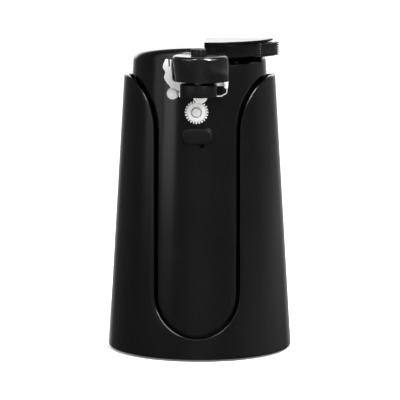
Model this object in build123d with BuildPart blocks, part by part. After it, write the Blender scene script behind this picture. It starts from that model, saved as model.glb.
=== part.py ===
from build123d import *
import os
from math import acos, asin, atan2, cos, degrees, hypot, pi, radians, sin, sqrt, tan

os.makedirs("parts", exist_ok=True)

# Electric can opener, tower type. Origin: centre of the base at table level.
# +X is to the right of someone facing the cutter, -Y is the front, +Z is up.

# ---------- Driving dimensions, mm ----------
# Outer sleeve: a tapered elliptical tube
sleeve_bottom = 1.5
sleeve_top = 194.7
base_half_width = 65.0
base_half_depth = 59.0
rim_half_width = 53.0
rim_half_depth = 48.2
sleeve_wall = 2.5
lip_thickness = 2.0
lip_gap = 0.5

# Tower inside the sleeve, flush with it at the front, a ledge in from it elsewhere
ledge = 6.0
cover_wall = 2.5
flange_wall = 2.0
flange_reach = 6.0
cover_split = 0.0
crown_rise = 21.5
crown_centre_y = -40.0
crown_radius_across = 190.0
crown_radius_along = 450.0
crown_edge_radius = 5.0
crown_depth = 75.0
crown_front_angle = 4.0
crown_sweep_angle = 18.0

# Groove round the front tongue
tongue_half_width = 26.9
groove_gap = 2.6
tongue_arc_z = 45.8
flare_drop = 36.7
flare_centre_x = 58.0
flare_rise = 38.6

# Pocket in the tower top, under the lever
pocket_depth = 11.7
pocket_rim_height = 4.0
pocket_rim_inset = 9.8
pocket_back_y = -8.0
pocket_clearance = 0.8

# Lever pivot and cutter bracket; rises and drops of the bracket are from the pivot
pivot_x = -16.5
pivot_drop = 9.0
pivot_pin_radius = 2.5
pivot_head_radius = 3.2
pivot_head_thickness = 1.8
pivot_shoulder_radius = 4.0
pivot_head_chamfer = 0.3
pin_fit = 0.05
bracket_stand = 2.4
bracket_thickness = 1.6
bracket_lobe_radius = 4.6
web_bottom_drop = 2.4
web_low_right_x = 12.0
web_notch_rise = 5.5
web_right_x = 20.5
web_top_rise = 26.8
tab_thickness = 1.2
tab_top_rise = 10.9
right_tab_depth = 5.0
left_tab_x = -12.4
left_tab_bottom_drop = 1.7
left_tab_height = 6.6
left_tab_depth = 7.0
guide_bend_rise = 1.0
guide_foot_x = 16.9
guide_foot_drop = 1.3
guide_thickness = 0.7
running_gap = 0.3

# Lever
lever_left_x = 20.3
lever_rise = 2.8
lever_height = 9.1
lever_overhang = 2.9
lever_wall = 2.2
lever_roof = 2.4
arm_thickness = 1.6
lever_back_gap = 1.0
lever_back_skirt_height = 2.5
arm_left_x = 5.0
pad_right_x = 21.5
pad_drop = 5.9
pad_low_height = 9.0
pad_high_left_x = 13.0
pad_thickness = 2.4
lever_screw_left_x = 9.0
lever_screw_pitch = 8.0
lever_screw_rise = 4.0
lever_screw_grip = 3.0
cap_thickness = 1.6
cap_right_inset = 1.1
cap_edge_chamfer = 0.4
grip_proud = 2.2
grip_depth_inset = 6.2
grip_length = 18.0
grip_root_inset = 6.0
grip_top_drop = 0.6
grip_grooves = 5
grip_groove_height = 0.7
grip_groove_depth = 0.6
actuator_width = 3.0
actuator_depth = 8.0
actuator_drop = 2.7

# Magnet housing, magnet and its stem
housing_rise = 10.6
housing_height = 17.3
housing_forward = 16.3
housing_bottom_x = 4.6
housing_bottom_radius = 18.1
housing_top_x = 3.1
housing_top_radius = 19.1
housing_wall = 2.0
housing_edge_radius = 2.5
magnet_x = 2.0
magnet_forward = 3.0
holder_radius = 12.45
holder_rise = 0.3
holder_height = 8.4
magnet_radius = 10.0
magnet_thickness = 3.0
stem_radius = 2.0
stem_sink = 4.0
knob_radius = 5.3
knob_height = 4.3
holder_edge_radius = 0.6
knob_sink = 2.5
knob_scallops = 8
knob_scallop_radius = 1.2
knob_chamfer = 0.5

# Cutting wheel
cutter_x = 2.6
cutter_drop = 1.1
cutter_radius = 5.0
cutter_thickness = 1.0
cutter_hub_radius = 2.2
cutter_axle_radius = 1.5
cutter_axle_head_radius = 2.8
cutter_axle_head_thickness = 0.8
cutter_forward = 4.8
cutter_bevel_back = 0.1
cutter_bevel_width = 1.0

# Drive wheel and shaft
drive_drop = 12.3
drive_wheel_radius = 8.13
drive_wheel_teeth = 24
drive_wheel_tooth_depth = 1.3
drive_wheel_gap = 0.5
drive_wheel_width = 2.9
drive_shaft_radius = 2.5
drive_end_radius = 3.0
drive_end_thickness = 0.9
shaft_collar_radius = 4.2
wheel_recess_depth = 0.8
wheel_recess_gap = 0.5
bush_wall = 2.0
bush_stand = 2.7

# Can rest below the drive wheel
rest_x = 0.5
rest_drop = 16.5
rest_width = 22.0
rest_height = 11.5
rest_proud = 6.2
rest_edge_radius = 2.0

# Rear cover hook
hook_width = 24.0
hook_drop = 6.0
hook_root = 3.0
hook_thickness = 2.0

# Gear case: two plates joined by posts
plate_setback = 8.2
plate_spacing = 24.0
plate_thickness = 2.0
front_plate_half_width = 21.0
front_plate_top_half_width = 14.5
rear_plate_half_width = 31.5
plate_top_rise = 2.8
plate_below_motor = 20.26
post_radius = 3.0
boss_wall = 0.5
upper_post_x = 11.0
lower_post_x = 17.0
upper_post_drop = 1.2
lower_post_drop = 14.0
screw_radius = 1.4
screw_head_radius = 2.6
screw_head_height = 1.5
screw_fit = 0.05
chassis_screw_depth = 5.0

# Gear train: motor pinion, two compound gears, output gear
module_motor = 0.8
module_middle = 0.8
module_output = 1.0
motor_pinion_teeth = 10
first_gear_teeth = 50
first_pinion_teeth = 12
second_gear_teeth = 48
second_pinion_teeth = 12
output_gear_teeth = 36
mesh_slack = 0.12
tooth_slack = 0.16
pressure_angle = radians(20)
output_gear_gap = 2.6
output_gear_width = 4.6
second_gear_step = 6.0
second_gear_width = 4.2
first_gear_step = 6.2
first_gear_width = 4.2
gear_offset_x = 5.0
axle_radius = 2.0
gear_hub_radius = 3.0

# Motor: shaded-pole, laminated frame with one coil round the lower leg
rotor_radius = 12.2
air_gap = 0.5
stack_half_width = 32.0
stack_gap = 8.0
stack_depth = 22.0
stack_above_shaft = 21.0
stack_below_shaft = 54.0
stack_leg_height = 15.0
stack_window_half_width = 19.0
stack_window_height = 24.0
motor_shaft_radius = 2.0
motor_shaft_nose = 0.8
motor_shaft_tail = 20.0
motor_bracket_thickness = 3.0
motor_bracket_half_height = 9.0
motor_boss_radius = 4.5
rear_bracket_gap = 5.0
motor_bearing_radius = 6.0
bearing_proud = 1.0
bolt_end = 1.0
bolt_x = 27.0
coil_thickness = 8.0
coil_inset = 0.5
bobbin_wall = 1.2
bobbin_half_width = 17.5
coil_corner_radius = 3.0
fan_radius = 19.0
fan_hub_radius = 5.0
fan_blades = 9
fan_blade_thickness = 1.2
fan_blade_tilt = 35.0
fan_web = 1.4
fan_width = 7.0
fan_gap = 11.5

# Switch
switch_x = 26.0
switch_width = 12.0
switch_depth = 12.0
switch_drop = 18.5
switch_height = 14.0
plunger_radius = 2.0
plunger_stands = 0.6
plunger_travel = 1.5
plunger_length = 9.5
spring_drop = 16.0
spring_radius = 1.5
spring_wire = 0.5
spring_turns = 5

# Base
base_plate_thickness = 2.5
base_gap = 0.3
foot_ring_width = 7.0
foot_ring_inset = 10.5
foot_ring_sink = 0.6
base_boss_radius = 4.5
base_boss_inset = 6.2
base_boss_turn = radians(39.4)
base_boss_height = 12.0
base_boss_end = 2.0

# Cord inlet low in the back of the sleeve
inlet_z = 22.0
inlet_radius = 5.5
inlet_flange_radius = 8.0
inlet_slot_width = 5.6
inlet_slot_height = 3.0
inlet_length = 9.0
inlet_flange_thickness = 2.0

# Cooling slots high in the back of the sleeve
vent_count = 7
vent_pitch = 6.0
vent_width = 2.4
vent_height = 26.0
vent_rise = 13.7

# Allowances for the bodies that cut or bound others: they run past them by this much
near_margin = 1.0
cut_margin = 5.0
far_margin = 20.0


# ---------- Shapes shared by several pieces ----------
def half_width(z):
    """Half the sleeve's width at height z."""
    share = (z - sleeve_bottom) / (sleeve_top - sleeve_bottom)
    return base_half_width + (rim_half_width - base_half_width) * share


def half_depth(z):
    """Half the sleeve's depth at height z."""
    share = (z - sleeve_bottom) / (sleeve_top - sleeve_bottom)
    return base_half_depth + (rim_half_depth - base_half_depth) * share


def tapered_ellipse(z_low, z_high, side_inset, depth_inset, centre_y, seam_at_back):
    """A solid that follows the sleeve's taper, a given distance in from it."""
    with BuildPart() as body:
        for z in (z_low, z_high):
            with BuildSketch(Plane.XY.offset(z)):
                with Locations((0, centre_y)):
                    if seam_at_back:
                        Ellipse(half_depth(z) - depth_inset, half_width(z) - side_inset, rotation=90)
                    else:
                        Ellipse(half_width(z) - side_inset, half_depth(z) - depth_inset)
        loft()
    return body.part


def in_sleeve(z_low, z_high, inset):
    return tapered_ellipse(z_low, z_high, inset, inset, 0, False)


def in_tower(z_low, z_high, inset):
    return tapered_ellipse(z_low, z_high, ledge + inset, ledge / 2 + inset, -ledge / 2, True)


def below_crown(drop):
    """Everything below the gently domed top, lowered by drop."""
    across = crown_radius_across - drop
    along = crown_radius_along - drop
    axle = (0, crown_centre_y, crown_top - crown_radius_along)
    reach = rim_half_width
    foot = along - crown_depth
    half_angle = degrees(asin(reach / across))
    section = Plane(axle, x_dir=(1, 0, 0), z_dir=(0, -1, 0)).rotated((crown_front_angle, 0, 0))
    with BuildPart() as body:
        with BuildSketch(section):
            with BuildLine():
                dome = CenterArc((0, along - across), across, 90 - half_angle, 2 * half_angle)
                Polyline(dome @ 1, (-reach, foot), (reach, foot), dome @ 0)
            make_face()
        revolve(axis=Axis(axle, (1, 0, 0)), revolution_arc=-crown_sweep_angle)
    return body.part


def at_y(y):
    """The upright plane across the object at depth y. Extruding from it goes to the front."""
    return Plane.XZ.offset(-y)


def groove_edge(in_from_sleeve):
    """Line of the groove's outer edge, moved in towards the tongue by the given distance.

    It runs from the left end of the flare, down, round the bottom and up to the right end.
    """
    half = tongue_half_width + groove_gap - in_from_sleeve
    across = flare_centre_x - half
    up = flare_rise + in_from_sleeve
    rise = min(sleeve_top - flare_start_z, up)
    turn = degrees(asin(rise / up))
    left = EllipticalCenterArc((-flare_centre_x, flare_start_z), across, up, turn, arc_size=-turn)
    right = EllipticalCenterArc((flare_centre_x, flare_start_z), across, up, 180, arc_size=-turn)
    bottom = CenterArc((0, tongue_arc_z), half, 180, 180)
    Line(left @ 1, bottom @ 0)
    Line(bottom @ 1, right @ 0)
    return left @ 0, right @ 1


def gear_outline(teeth, module, centre, tooth_angle):
    """Points of a spur gear with 20 degree involute teeth, one tooth pointing along tooth_angle."""
    pitch = teeth * module / 2
    base = pitch * cos(pressure_angle)
    tip = pitch + module
    root = pitch - 1.25 * module
    involute_start = max(base, root)
    middle = (involute_start + tip) / 2
    points = []
    for index in range(teeth):
        axis_angle = tooth_angle + 2 * pi * index / teeth
        flank = []
        for radius in (root, involute_start, middle, tip):
            roll = acos(base / max(radius, base))
            half = pi / 2 / teeth + tan(pressure_angle) - pressure_angle
            half = half - tan(roll) + roll - tooth_slack / 2 / pitch
            flank.append((radius, half))
        for radius, half in flank:
            points.append((radius, axis_angle - half))
        for radius, half in reversed(flank):
            points.append((radius, axis_angle + half))
    unique = []
    for radius, angle in points:
        point = (centre[0] + radius * cos(angle), centre[1] + radius * sin(angle))
        if not unique or hypot(point[0] - unique[-1][0], point[1] - unique[-1][1]) > 0.001:
            unique.append(point)
    return unique


def angle_to(start, end):
    return atan2(end[1] - start[1], end[0] - start[0])


# ---------- Sizes that follow from the driving dimensions ----------
crown_top = sleeve_top + crown_rise
flare_start_z = sleeve_top - flare_drop
pocket_floor_z = crown_top - pocket_depth
pocket_rim_z = pocket_floor_z + pocket_rim_height
pocket_rim_x = rim_half_width - pocket_rim_inset
pivot_z = sleeve_top - pivot_drop
drive_z = pivot_z - drive_drop
cutter_z = pivot_z - cutter_drop
rest_z = drive_z - rest_drop
lever_top_z = crown_top + lever_rise
lever_bottom_z = lever_top_z - lever_height
pad_bottom_z = lever_bottom_z - pad_drop
lever_screw_z = pad_bottom_z + lever_screw_rise
housing_bottom_z = pivot_z + housing_rise
housing_top_z = housing_bottom_z + housing_height
holder_bottom_z = pivot_z + holder_rise

lip_bottom = sleeve_top - lip_thickness
flange_depth = sleeve_wall + running_gap
tongue_wall = flange_depth + flange_wall
flange_top = lip_bottom - running_gap
lip_inset = cover_wall + lip_gap
above_all = crown_top + far_margin
far_front = base_half_depth + far_margin

# Depths in the head and the gear case all follow from the rim's front
bracket_back_y = -rim_half_depth - bracket_stand
bracket_front_y = bracket_back_y - bracket_thickness
housing_y = bracket_front_y - housing_forward
magnet_y = housing_y - magnet_forward
cutter_front_y = bracket_front_y - cutter_forward
drive_wheel_back_y = bracket_front_y - drive_wheel_gap
drive_wheel_front_y = drive_wheel_back_y - drive_wheel_width
bush_front_y = -rim_half_depth - bush_stand
rest_front_y = -half_depth(rest_z) - rest_proud
front_plate_y = plate_setback - rim_half_depth
plate_back = front_plate_y + plate_thickness
rear_plate_y = front_plate_y + plate_spacing
rear_plate_back = rear_plate_y + plate_thickness
switch_y = rear_plate_y - switch_depth / 2
switch_bottom_z = pocket_floor_z - switch_drop
switch_top_z = switch_bottom_z + switch_height
output_gear_front_y = plate_back + output_gear_gap
second_gear_front_y = output_gear_front_y + second_gear_step
first_gear_front_y = second_gear_front_y + first_gear_step

train_mid = (output_gear_teeth + second_pinion_teeth) * module_output / 2 + mesh_slack
train_two = (second_gear_teeth + first_pinion_teeth) * module_middle / 2 + mesh_slack
train_one = (first_gear_teeth + motor_pinion_teeth) * module_motor / 2 + mesh_slack
output_centre = (0, drive_z)
second_centre = (gear_offset_x, drive_z - sqrt(train_mid ** 2 - gear_offset_x ** 2))
first_drop = sqrt(train_two ** 2 - (2 * gear_offset_x) ** 2)
first_centre = (-gear_offset_x, second_centre[1] - first_drop)
motor_centre = (0, first_centre[1] - sqrt(train_one ** 2 - gear_offset_x ** 2))
motor_z = motor_centre[1]
stack_top_z = motor_z + stack_above_shaft
stack_bottom_z = motor_z - stack_below_shaft
stack_front_y = rear_plate_back + stack_gap
stack_back_y = stack_front_y + stack_depth
upper_post_z = sleeve_top - upper_post_drop
plate_top_z = sleeve_top + plate_top_rise
plate_bottom_z = motor_z - plate_below_motor
upper_posts = [(-upper_post_x, upper_post_z), (upper_post_x, upper_post_z)]
lower_posts = [(-lower_post_x, motor_z - lower_post_drop), (lower_post_x, motor_z - lower_post_drop)]
post_spots = upper_posts + lower_posts

# Sweep of the lever's underside about the pivot, which the pocket's left wall clears
lever_corner_reach = hypot(lever_left_x - pivot_x, lever_bottom_z - pivot_z)
pocket_wall_radius = lever_corner_reach - pocket_clearance


def pocket_outline(grow):
    """Side of the lever pocket seen from the front, enlarged all round by grow."""
    radius = pocket_wall_radius - grow
    floor = pocket_floor_z - grow
    wall_top = crown_top + lever_roof
    rim_x = pocket_rim_x + grow
    wall = [(pivot_x + sqrt(radius ** 2 - (z - pivot_z) ** 2), z) for z in (wall_top, (wall_top + floor) / 2, floor)]
    ThreePointArc(*wall)
    Polyline(
        wall[2],
        (rim_x, floor),
        (rim_x, pocket_rim_z - grow),
        (base_half_width, pocket_rim_z - grow),
        (base_half_width, above_all),
        (wall[0][0], above_all),
        wall[0],
    )


# ---------- Outer sleeve ----------
sleeve_outside = in_sleeve(sleeve_bottom, sleeve_top, 0)
sleeve_inside = in_sleeve(sleeve_bottom - near_margin, lip_bottom, sleeve_wall)
lip_opening = in_tower(lip_bottom - near_margin, sleeve_top + near_margin, lip_inset)
boss_limit = in_sleeve(sleeve_bottom, sleeve_top, sleeve_wall / 2)
boss_bottom = sleeve_bottom + base_plate_thickness
base_boss_x = (base_half_width - base_boss_inset) * cos(base_boss_turn)
base_boss_y = (base_half_depth - base_boss_inset) * sin(base_boss_turn)
base_spots = [(x, y) for x in (-base_boss_x, base_boss_x) for y in (-base_boss_y, base_boss_y)]
vent_z = motor_z + vent_rise

with BuildPart() as sleeve_bosses:
    with BuildSketch(Plane.XY.offset(boss_bottom)):
        with Locations(base_spots):
            Circle(base_boss_radius)
    extrude(amount=base_boss_height)
    add(boss_limit, mode=Mode.INTERSECT)

with BuildPart() as outer_sleeve:
    add(sleeve_outside)
    add(sleeve_inside, mode=Mode.SUBTRACT)
    add(lip_opening, mode=Mode.SUBTRACT)
    with BuildSketch(Plane.XZ):
        with BuildLine():
            left_end, right_end = groove_edge(0)
            Polyline(right_end, (right_end.X, above_all), (left_end.X, above_all), left_end)
        make_face()
    extrude(amount=far_front, mode=Mode.SUBTRACT)
    add(sleeve_bosses.part)
    with BuildSketch(Plane.XY.offset(boss_bottom)):
        with Locations(base_spots):
            Circle(screw_radius + screw_fit)
    extrude(amount=base_boss_height - base_boss_end, mode=Mode.SUBTRACT)
    with BuildSketch(at_y(base_half_depth + cut_margin)):
        with Locations((0, inlet_z)):
            Circle(inlet_radius + pin_fit)
        with Locations((0, vent_z)):
            with GridLocations(vent_pitch, 0, vent_count, 1):
                SlotOverall(vent_height, vent_width, rotation=90)
    extrude(amount=base_half_depth, mode=Mode.SUBTRACT)
outer_sleeve.part.label = "outer_sleeve"
export_step(outer_sleeve.part, "parts/outer_sleeve.step")

# ---------- Front cover: tongue, flange behind the sleeve, front half of the tower ----------
tower_low = tongue_arc_z - tongue_half_width - groove_gap - flange_reach - 2 * near_margin
tower_outside = in_tower(tower_low, above_all, 0)
crown_outside = below_crown(0)
crown_inside = below_crown(cover_wall)
upper_inside = in_tower(flange_top, above_all, cover_wall)
lower_inside = in_tower(tower_low - near_margin, flange_top, tongue_wall)
flange_outside = in_tower(tower_low, flange_top, flange_depth)

with BuildPart() as pocket_space:
    with BuildSketch(at_y(pocket_back_y)):
        with BuildLine():
            pocket_outline(0)
        make_face()
    extrude(amount=base_half_depth)

with BuildPart() as tower_top:
    add(in_tower(sleeve_top, above_all, 0))
    add(crown_outside, mode=Mode.INTERSECT)
    fillet(tower_top.edges().group_by(Axis.Z)[-1], crown_edge_radius)

# Everything in front of the line where the two covers meet, and everything behind it
cover_halves = []
for side in (1, -1):
    with BuildPart() as half_space:
        with BuildSketch(at_y(cover_split)):
            with Locations((0, above_all / 2)):
                Rectangle(2 * far_front, above_all + far_margin)
        extrude(amount=side * far_front)
    cover_halves.append(half_space.part)
front_half, rear_half = cover_halves

with BuildPart() as tower_hollow:
    add(upper_inside)
    add(crown_inside, mode=Mode.INTERSECT)

with BuildPart() as pocket_shell:
    with BuildSketch(at_y(pocket_back_y + cover_wall)):
        with BuildLine():
            pocket_outline(cover_wall)
        make_face()
    extrude(amount=base_half_depth)

with BuildPart() as front_hollow:
    add(tower_hollow.part)
    add(pocket_shell.part, mode=Mode.SUBTRACT)

with BuildPart() as cover_flange:
    with BuildSketch(at_y(cover_split)):
        with BuildLine():
            left_end, right_end = groove_edge(-flange_reach)
            Polyline(right_end, (right_end.X, above_all), (left_end.X, above_all), left_end)
        make_face()
    extrude(amount=far_front)
    add(flange_outside, mode=Mode.INTERSECT)

with BuildPart() as cover_tongue:
    with BuildSketch(at_y(cover_split)):
        with BuildLine():
            left_end, right_end = groove_edge(groove_gap)
            Line(right_end, left_end)
        make_face()
    extrude(amount=far_front)
    add(tower_outside, mode=Mode.INTERSECT)

boss_reach = in_tower(tower_low, above_all, tongue_wall / 2)
with BuildPart() as cover_bosses:
    with BuildSketch(at_y(front_plate_y)):
        with Locations(post_spots):
            Circle(post_radius + boss_wall)
        with Locations((pivot_x, pivot_z)):
            Circle(pivot_shoulder_radius)
    extrude(amount=base_half_depth)
    add(boss_reach, mode=Mode.INTERSECT)

with BuildPart() as front_cover:
    add(tower_top.part)
    add([rear_half, pocket_space.part], mode=Mode.SUBTRACT)
    add(cover_tongue.part)
    add(cover_flange.part)
    add(front_hollow.part, mode=Mode.SUBTRACT)
    add(lower_inside, mode=Mode.SUBTRACT)
    add(cover_bosses.part)
    with BuildSketch(at_y(front_plate_y)):
        with Locations(post_spots):
            Circle(screw_radius + screw_fit)
    extrude(amount=chassis_screw_depth + near_margin, mode=Mode.SUBTRACT)
    with BuildSketch(at_y(cover_split)):
        with Locations((pivot_x, pivot_z)):
            Circle(pivot_pin_radius + pin_fit)
        with Locations(output_centre):
            Circle(drive_shaft_radius + bush_wall + 2 * pin_fit)
    extrude(amount=base_half_depth, mode=Mode.SUBTRACT)
    with BuildSketch(Plane.XY.offset(pocket_floor_z - cover_wall - cut_margin)):
        with Locations((switch_x, switch_y)):
            Circle(plunger_radius + running_gap)
    extrude(amount=cover_wall + 2 * cut_margin, mode=Mode.SUBTRACT)
front_cover.part.label = "front_cover"
export_step(front_cover.part, "parts/front_cover.step")

# ---------- Rear cover: back half of the tower top, with a hook under the sleeve's lip ----------
hook_top = in_tower(sleeve_top, sleeve_top + hook_root, cover_wall / 2)
hook_shank = in_tower(lip_bottom - hook_drop, sleeve_top + hook_root, lip_inset + running_gap / 2)
hook_foot = lip_bottom - hook_drop
hook_inner = in_tower(hook_foot - near_margin, sleeve_top + hook_root + near_margin, lip_inset + hook_thickness)
with BuildPart() as rear_hook:
    add(hook_top)
    add(hook_shank)
    add(hook_inner, mode=Mode.SUBTRACT)
    with BuildSketch(Plane.XY.offset(lip_bottom - hook_drop)):
        with Locations((0, base_half_depth / 2)):
            Rectangle(hook_width, base_half_depth)
    extrude(amount=base_half_depth, mode=Mode.INTERSECT)

with BuildPart() as rear_cover:
    add(tower_top.part)
    add(front_half, mode=Mode.SUBTRACT)
    add(tower_hollow.part, mode=Mode.SUBTRACT)
    add(rear_hook.part)
rear_cover.part.label = "rear_cover"
export_step(rear_cover.part, "parts/rear_cover.step")

# ---------- Can rest: a pill-shaped bump that the can wall leans on ----------
with BuildPart() as can_rest:
    with BuildSketch(at_y(-rim_half_depth + rest_height)):
        with Locations((rest_x, rest_z)):
            SlotOverall(rest_width, rest_height)
    extrude(amount=-rest_front_y - rim_half_depth + rest_height)
    fillet(can_rest.faces().sort_by(Axis.Y)[0].edges(), rest_edge_radius)
    add(in_tower(rest_z - rest_height, rest_z + rest_height, -pin_fit), mode=Mode.SUBTRACT)
can_rest.part.label = "can_rest"
export_step(can_rest.part, "parts/can_rest.step")

# ---------- Base plate, its screws and the rubber foot ring ----------
foot_groove_z = sleeve_bottom + foot_ring_sink
ring_sizes = (half_width(sleeve_bottom) - foot_ring_inset, half_depth(sleeve_bottom) - foot_ring_inset)

with BuildPart() as base_plate:
    add(in_sleeve(sleeve_bottom, boss_bottom, sleeve_wall + base_gap))
    with BuildSketch(Plane.XY.offset(sleeve_bottom)):
        Ellipse(*ring_sizes)
        Ellipse(ring_sizes[0] - foot_ring_width, ring_sizes[1] - foot_ring_width, mode=Mode.SUBTRACT)
    extrude(amount=foot_ring_sink, mode=Mode.SUBTRACT)
    with BuildSketch(Plane.XY.offset(sleeve_bottom)):
        with Locations(base_spots):
            Circle(screw_radius + screw_fit)
    extrude(amount=base_plate_thickness, mode=Mode.SUBTRACT)
    with BuildSketch(Plane.XY.offset(sleeve_bottom)):
        with Locations(base_spots):
            Circle(screw_head_radius + screw_fit)
    extrude(amount=screw_head_height, mode=Mode.SUBTRACT)
base_plate.part.label = "base_plate"
export_step(base_plate.part, "parts/base_plate.step")

with BuildPart() as foot_ring:
    with BuildSketch(Plane.XY):
        Ellipse(ring_sizes[0] - pin_fit, ring_sizes[1] - pin_fit)
        Ellipse(
            ring_sizes[0] - foot_ring_width + pin_fit,
            ring_sizes[1] - foot_ring_width + pin_fit,
            mode=Mode.SUBTRACT,
        )
    extrude(amount=foot_groove_z)
foot_ring.part.label = "foot_ring"
export_step(foot_ring.part, "parts/foot_ring.step")

with BuildPart() as base_screws:
    with BuildSketch(Plane.XY.offset(sleeve_bottom)):
        with Locations(base_spots):
            Circle(screw_head_radius)
    extrude(amount=screw_head_height)
    with BuildSketch(Plane.XY.offset(sleeve_bottom)):
        with Locations(base_spots):
            Circle(screw_radius)
    extrude(amount=base_boss_height)
base_screws.part.label = "base_screws"
export_step(base_screws.part, "parts/base_screws.step")

# ---------- Cord inlet: a flanged grommet with a slot for a flat cord ----------
inlet_seat_y = half_depth(inlet_z - inlet_flange_radius) + pin_fit
with BuildPart() as cord_inlet:
    with BuildSketch(at_y(inlet_seat_y)):
        with Locations((0, inlet_z)):
            Circle(inlet_radius)
    extrude(amount=inlet_length)
    with BuildSketch(at_y(inlet_seat_y)):
        with Locations((0, inlet_z)):
            Circle(inlet_flange_radius)
    extrude(amount=-inlet_flange_thickness)
    fillet(cord_inlet.faces().sort_by(Axis.Y)[-1].outer_wire().edges(), inlet_flange_thickness / 2)
    with BuildSketch(at_y(inlet_seat_y + inlet_flange_thickness)):
        with Locations((0, inlet_z)):
            SlotOverall(inlet_slot_width, inlet_slot_height)
    extrude(amount=inlet_length + inlet_flange_thickness, mode=Mode.SUBTRACT)
cord_inlet.part.label = "cord_inlet"
export_step(cord_inlet.part, "parts/cord_inlet.step")

# ---------- Gear case: front and rear plates, posts, through screws, shaft bushes ----------
bush_outer = drive_shaft_radius + bush_wall
bush_bore = drive_shaft_radius + pin_fit
motor_spots = [(-bolt_x, motor_z), (bolt_x, motor_z)]

with BuildPart() as front_plate:
    with BuildSketch(at_y(plate_back)):
        with BuildLine():
            Polyline(
                (-front_plate_half_width, plate_bottom_z),
                (front_plate_half_width, plate_bottom_z),
                (front_plate_top_half_width, plate_top_z),
                (-front_plate_top_half_width, plate_top_z),
                close=True,
            )
        make_face()
        with Locations(post_spots):
            Circle(screw_radius + screw_fit, mode=Mode.SUBTRACT)
        with Locations(first_centre, second_centre):
            Circle(axle_radius + pin_fit, mode=Mode.SUBTRACT)
        with Locations(output_centre):
            Circle(bush_outer + pin_fit, mode=Mode.SUBTRACT)
    extrude(amount=plate_thickness)
front_plate.part.label = "front_plate"
export_step(front_plate.part, "parts/front_plate.step")

ear_left = switch_x - switch_width / 2 - near_margin
with BuildPart() as rear_plate:
    with BuildSketch(at_y(rear_plate_back)):
        with Locations((0, (plate_top_z + plate_bottom_z) / 2)):
            Rectangle(2 * rear_plate_half_width, plate_top_z - plate_bottom_z)
        with BuildLine():
            Polyline(
                (ear_left, plate_top_z - near_margin),
                (rear_plate_half_width, plate_top_z - near_margin),
                (rear_plate_half_width, switch_top_z),
                (ear_left, switch_top_z),
                close=True,
            )
        make_face()
        with Locations(post_spots + motor_spots):
            Circle(screw_radius + screw_fit, mode=Mode.SUBTRACT)
        with Locations(first_centre, second_centre):
            Circle(axle_radius + pin_fit, mode=Mode.SUBTRACT)
        with Locations(output_centre):
            Circle(bush_outer + pin_fit, mode=Mode.SUBTRACT)
        with Locations(motor_centre):
            Circle(motor_shaft_radius + 3 * running_gap, mode=Mode.SUBTRACT)
    extrude(amount=plate_thickness)
rear_plate.part.label = "rear_plate"
export_step(rear_plate.part, "parts/rear_plate.step")

with BuildPart() as plate_posts:
    with BuildSketch(at_y(rear_plate_y)):
        with Locations(post_spots):
            Circle(post_radius)
            Circle(screw_radius + screw_fit, mode=Mode.SUBTRACT)
    extrude(amount=rear_plate_y - plate_back)
plate_posts.part.label = "plate_posts"
export_step(plate_posts.part, "parts/plate_posts.step")

with BuildPart() as case_screws:
    with BuildSketch(at_y(rear_plate_back + screw_head_height)):
        with Locations(post_spots):
            Circle(screw_head_radius)
    extrude(amount=screw_head_height)
    with BuildSketch(at_y(rear_plate_back)):
        with Locations(post_spots):
            Circle(screw_radius)
    extrude(amount=rear_plate_back - front_plate_y + chassis_screw_depth)
case_screws.part.label = "case_screws"
export_step(case_screws.part, "parts/case_screws.step")

with BuildPart() as shaft_bushes:
    with BuildSketch(at_y(plate_back)):
        with Locations(output_centre):
            Circle(bush_outer)
            Circle(bush_bore, mode=Mode.SUBTRACT)
    extrude(amount=plate_back - bush_front_y)
    with BuildSketch(at_y(rear_plate_back)):
        with Locations(output_centre):
            Circle(bush_outer)
            Circle(bush_bore, mode=Mode.SUBTRACT)
    extrude(amount=plate_thickness)
shaft_bushes.part.label = "shaft_bushes"
export_step(shaft_bushes.part, "parts/shaft_bushes.step")

with BuildPart() as gear_axles:
    with BuildSketch(at_y(rear_plate_back)):
        with Locations(first_centre, second_centre):
            Circle(axle_radius)
    extrude(amount=rear_plate_back - front_plate_y)
gear_axles.part.label = "gear_axles"
export_step(gear_axles.part, "parts/gear_axles.step")

# ---------- Pivot pin: shank in the cover's boss, shoulder, head ----------
shoulder_back_y = -half_depth(pivot_z) - pin_fit
head_back_y = bracket_front_y - running_gap
with BuildPart() as pivot_pin:
    with BuildSketch(at_y(front_plate_y)):
        with Locations((pivot_x, pivot_z)):
            Circle(pivot_pin_radius)
    extrude(amount=front_plate_y - head_back_y)
    with BuildSketch(at_y(shoulder_back_y)):
        with Locations((pivot_x, pivot_z)):
            Circle(pivot_shoulder_radius)
    extrude(amount=shoulder_back_y - bracket_back_y - running_gap)
    with BuildSketch(at_y(head_back_y)):
        with Locations((pivot_x, pivot_z)):
            Circle(pivot_head_radius)
    extrude(amount=pivot_head_thickness)
    chamfer(pivot_pin.faces().sort_by(Axis.Y)[0].edges(), pivot_head_chamfer)
pivot_pin.part.label = "pivot_pin"
export_step(pivot_pin.part, "parts/pivot_pin.step")

# ---------- Drive wheel, its shaft and the output gear ----------
tooth_turn = 2 * pi / drive_wheel_teeth
star = []
for index in range(drive_wheel_teeth):
    tip_angle = pi / 2 + index * tooth_turn
    star.append((drive_wheel_radius * cos(tip_angle), drive_z + drive_wheel_radius * sin(tip_angle)))
    valley = drive_wheel_radius - drive_wheel_tooth_depth
    valley_angle = tip_angle + tooth_turn / 2
    star.append((valley * cos(valley_angle), drive_z + valley * sin(valley_angle)))

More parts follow.
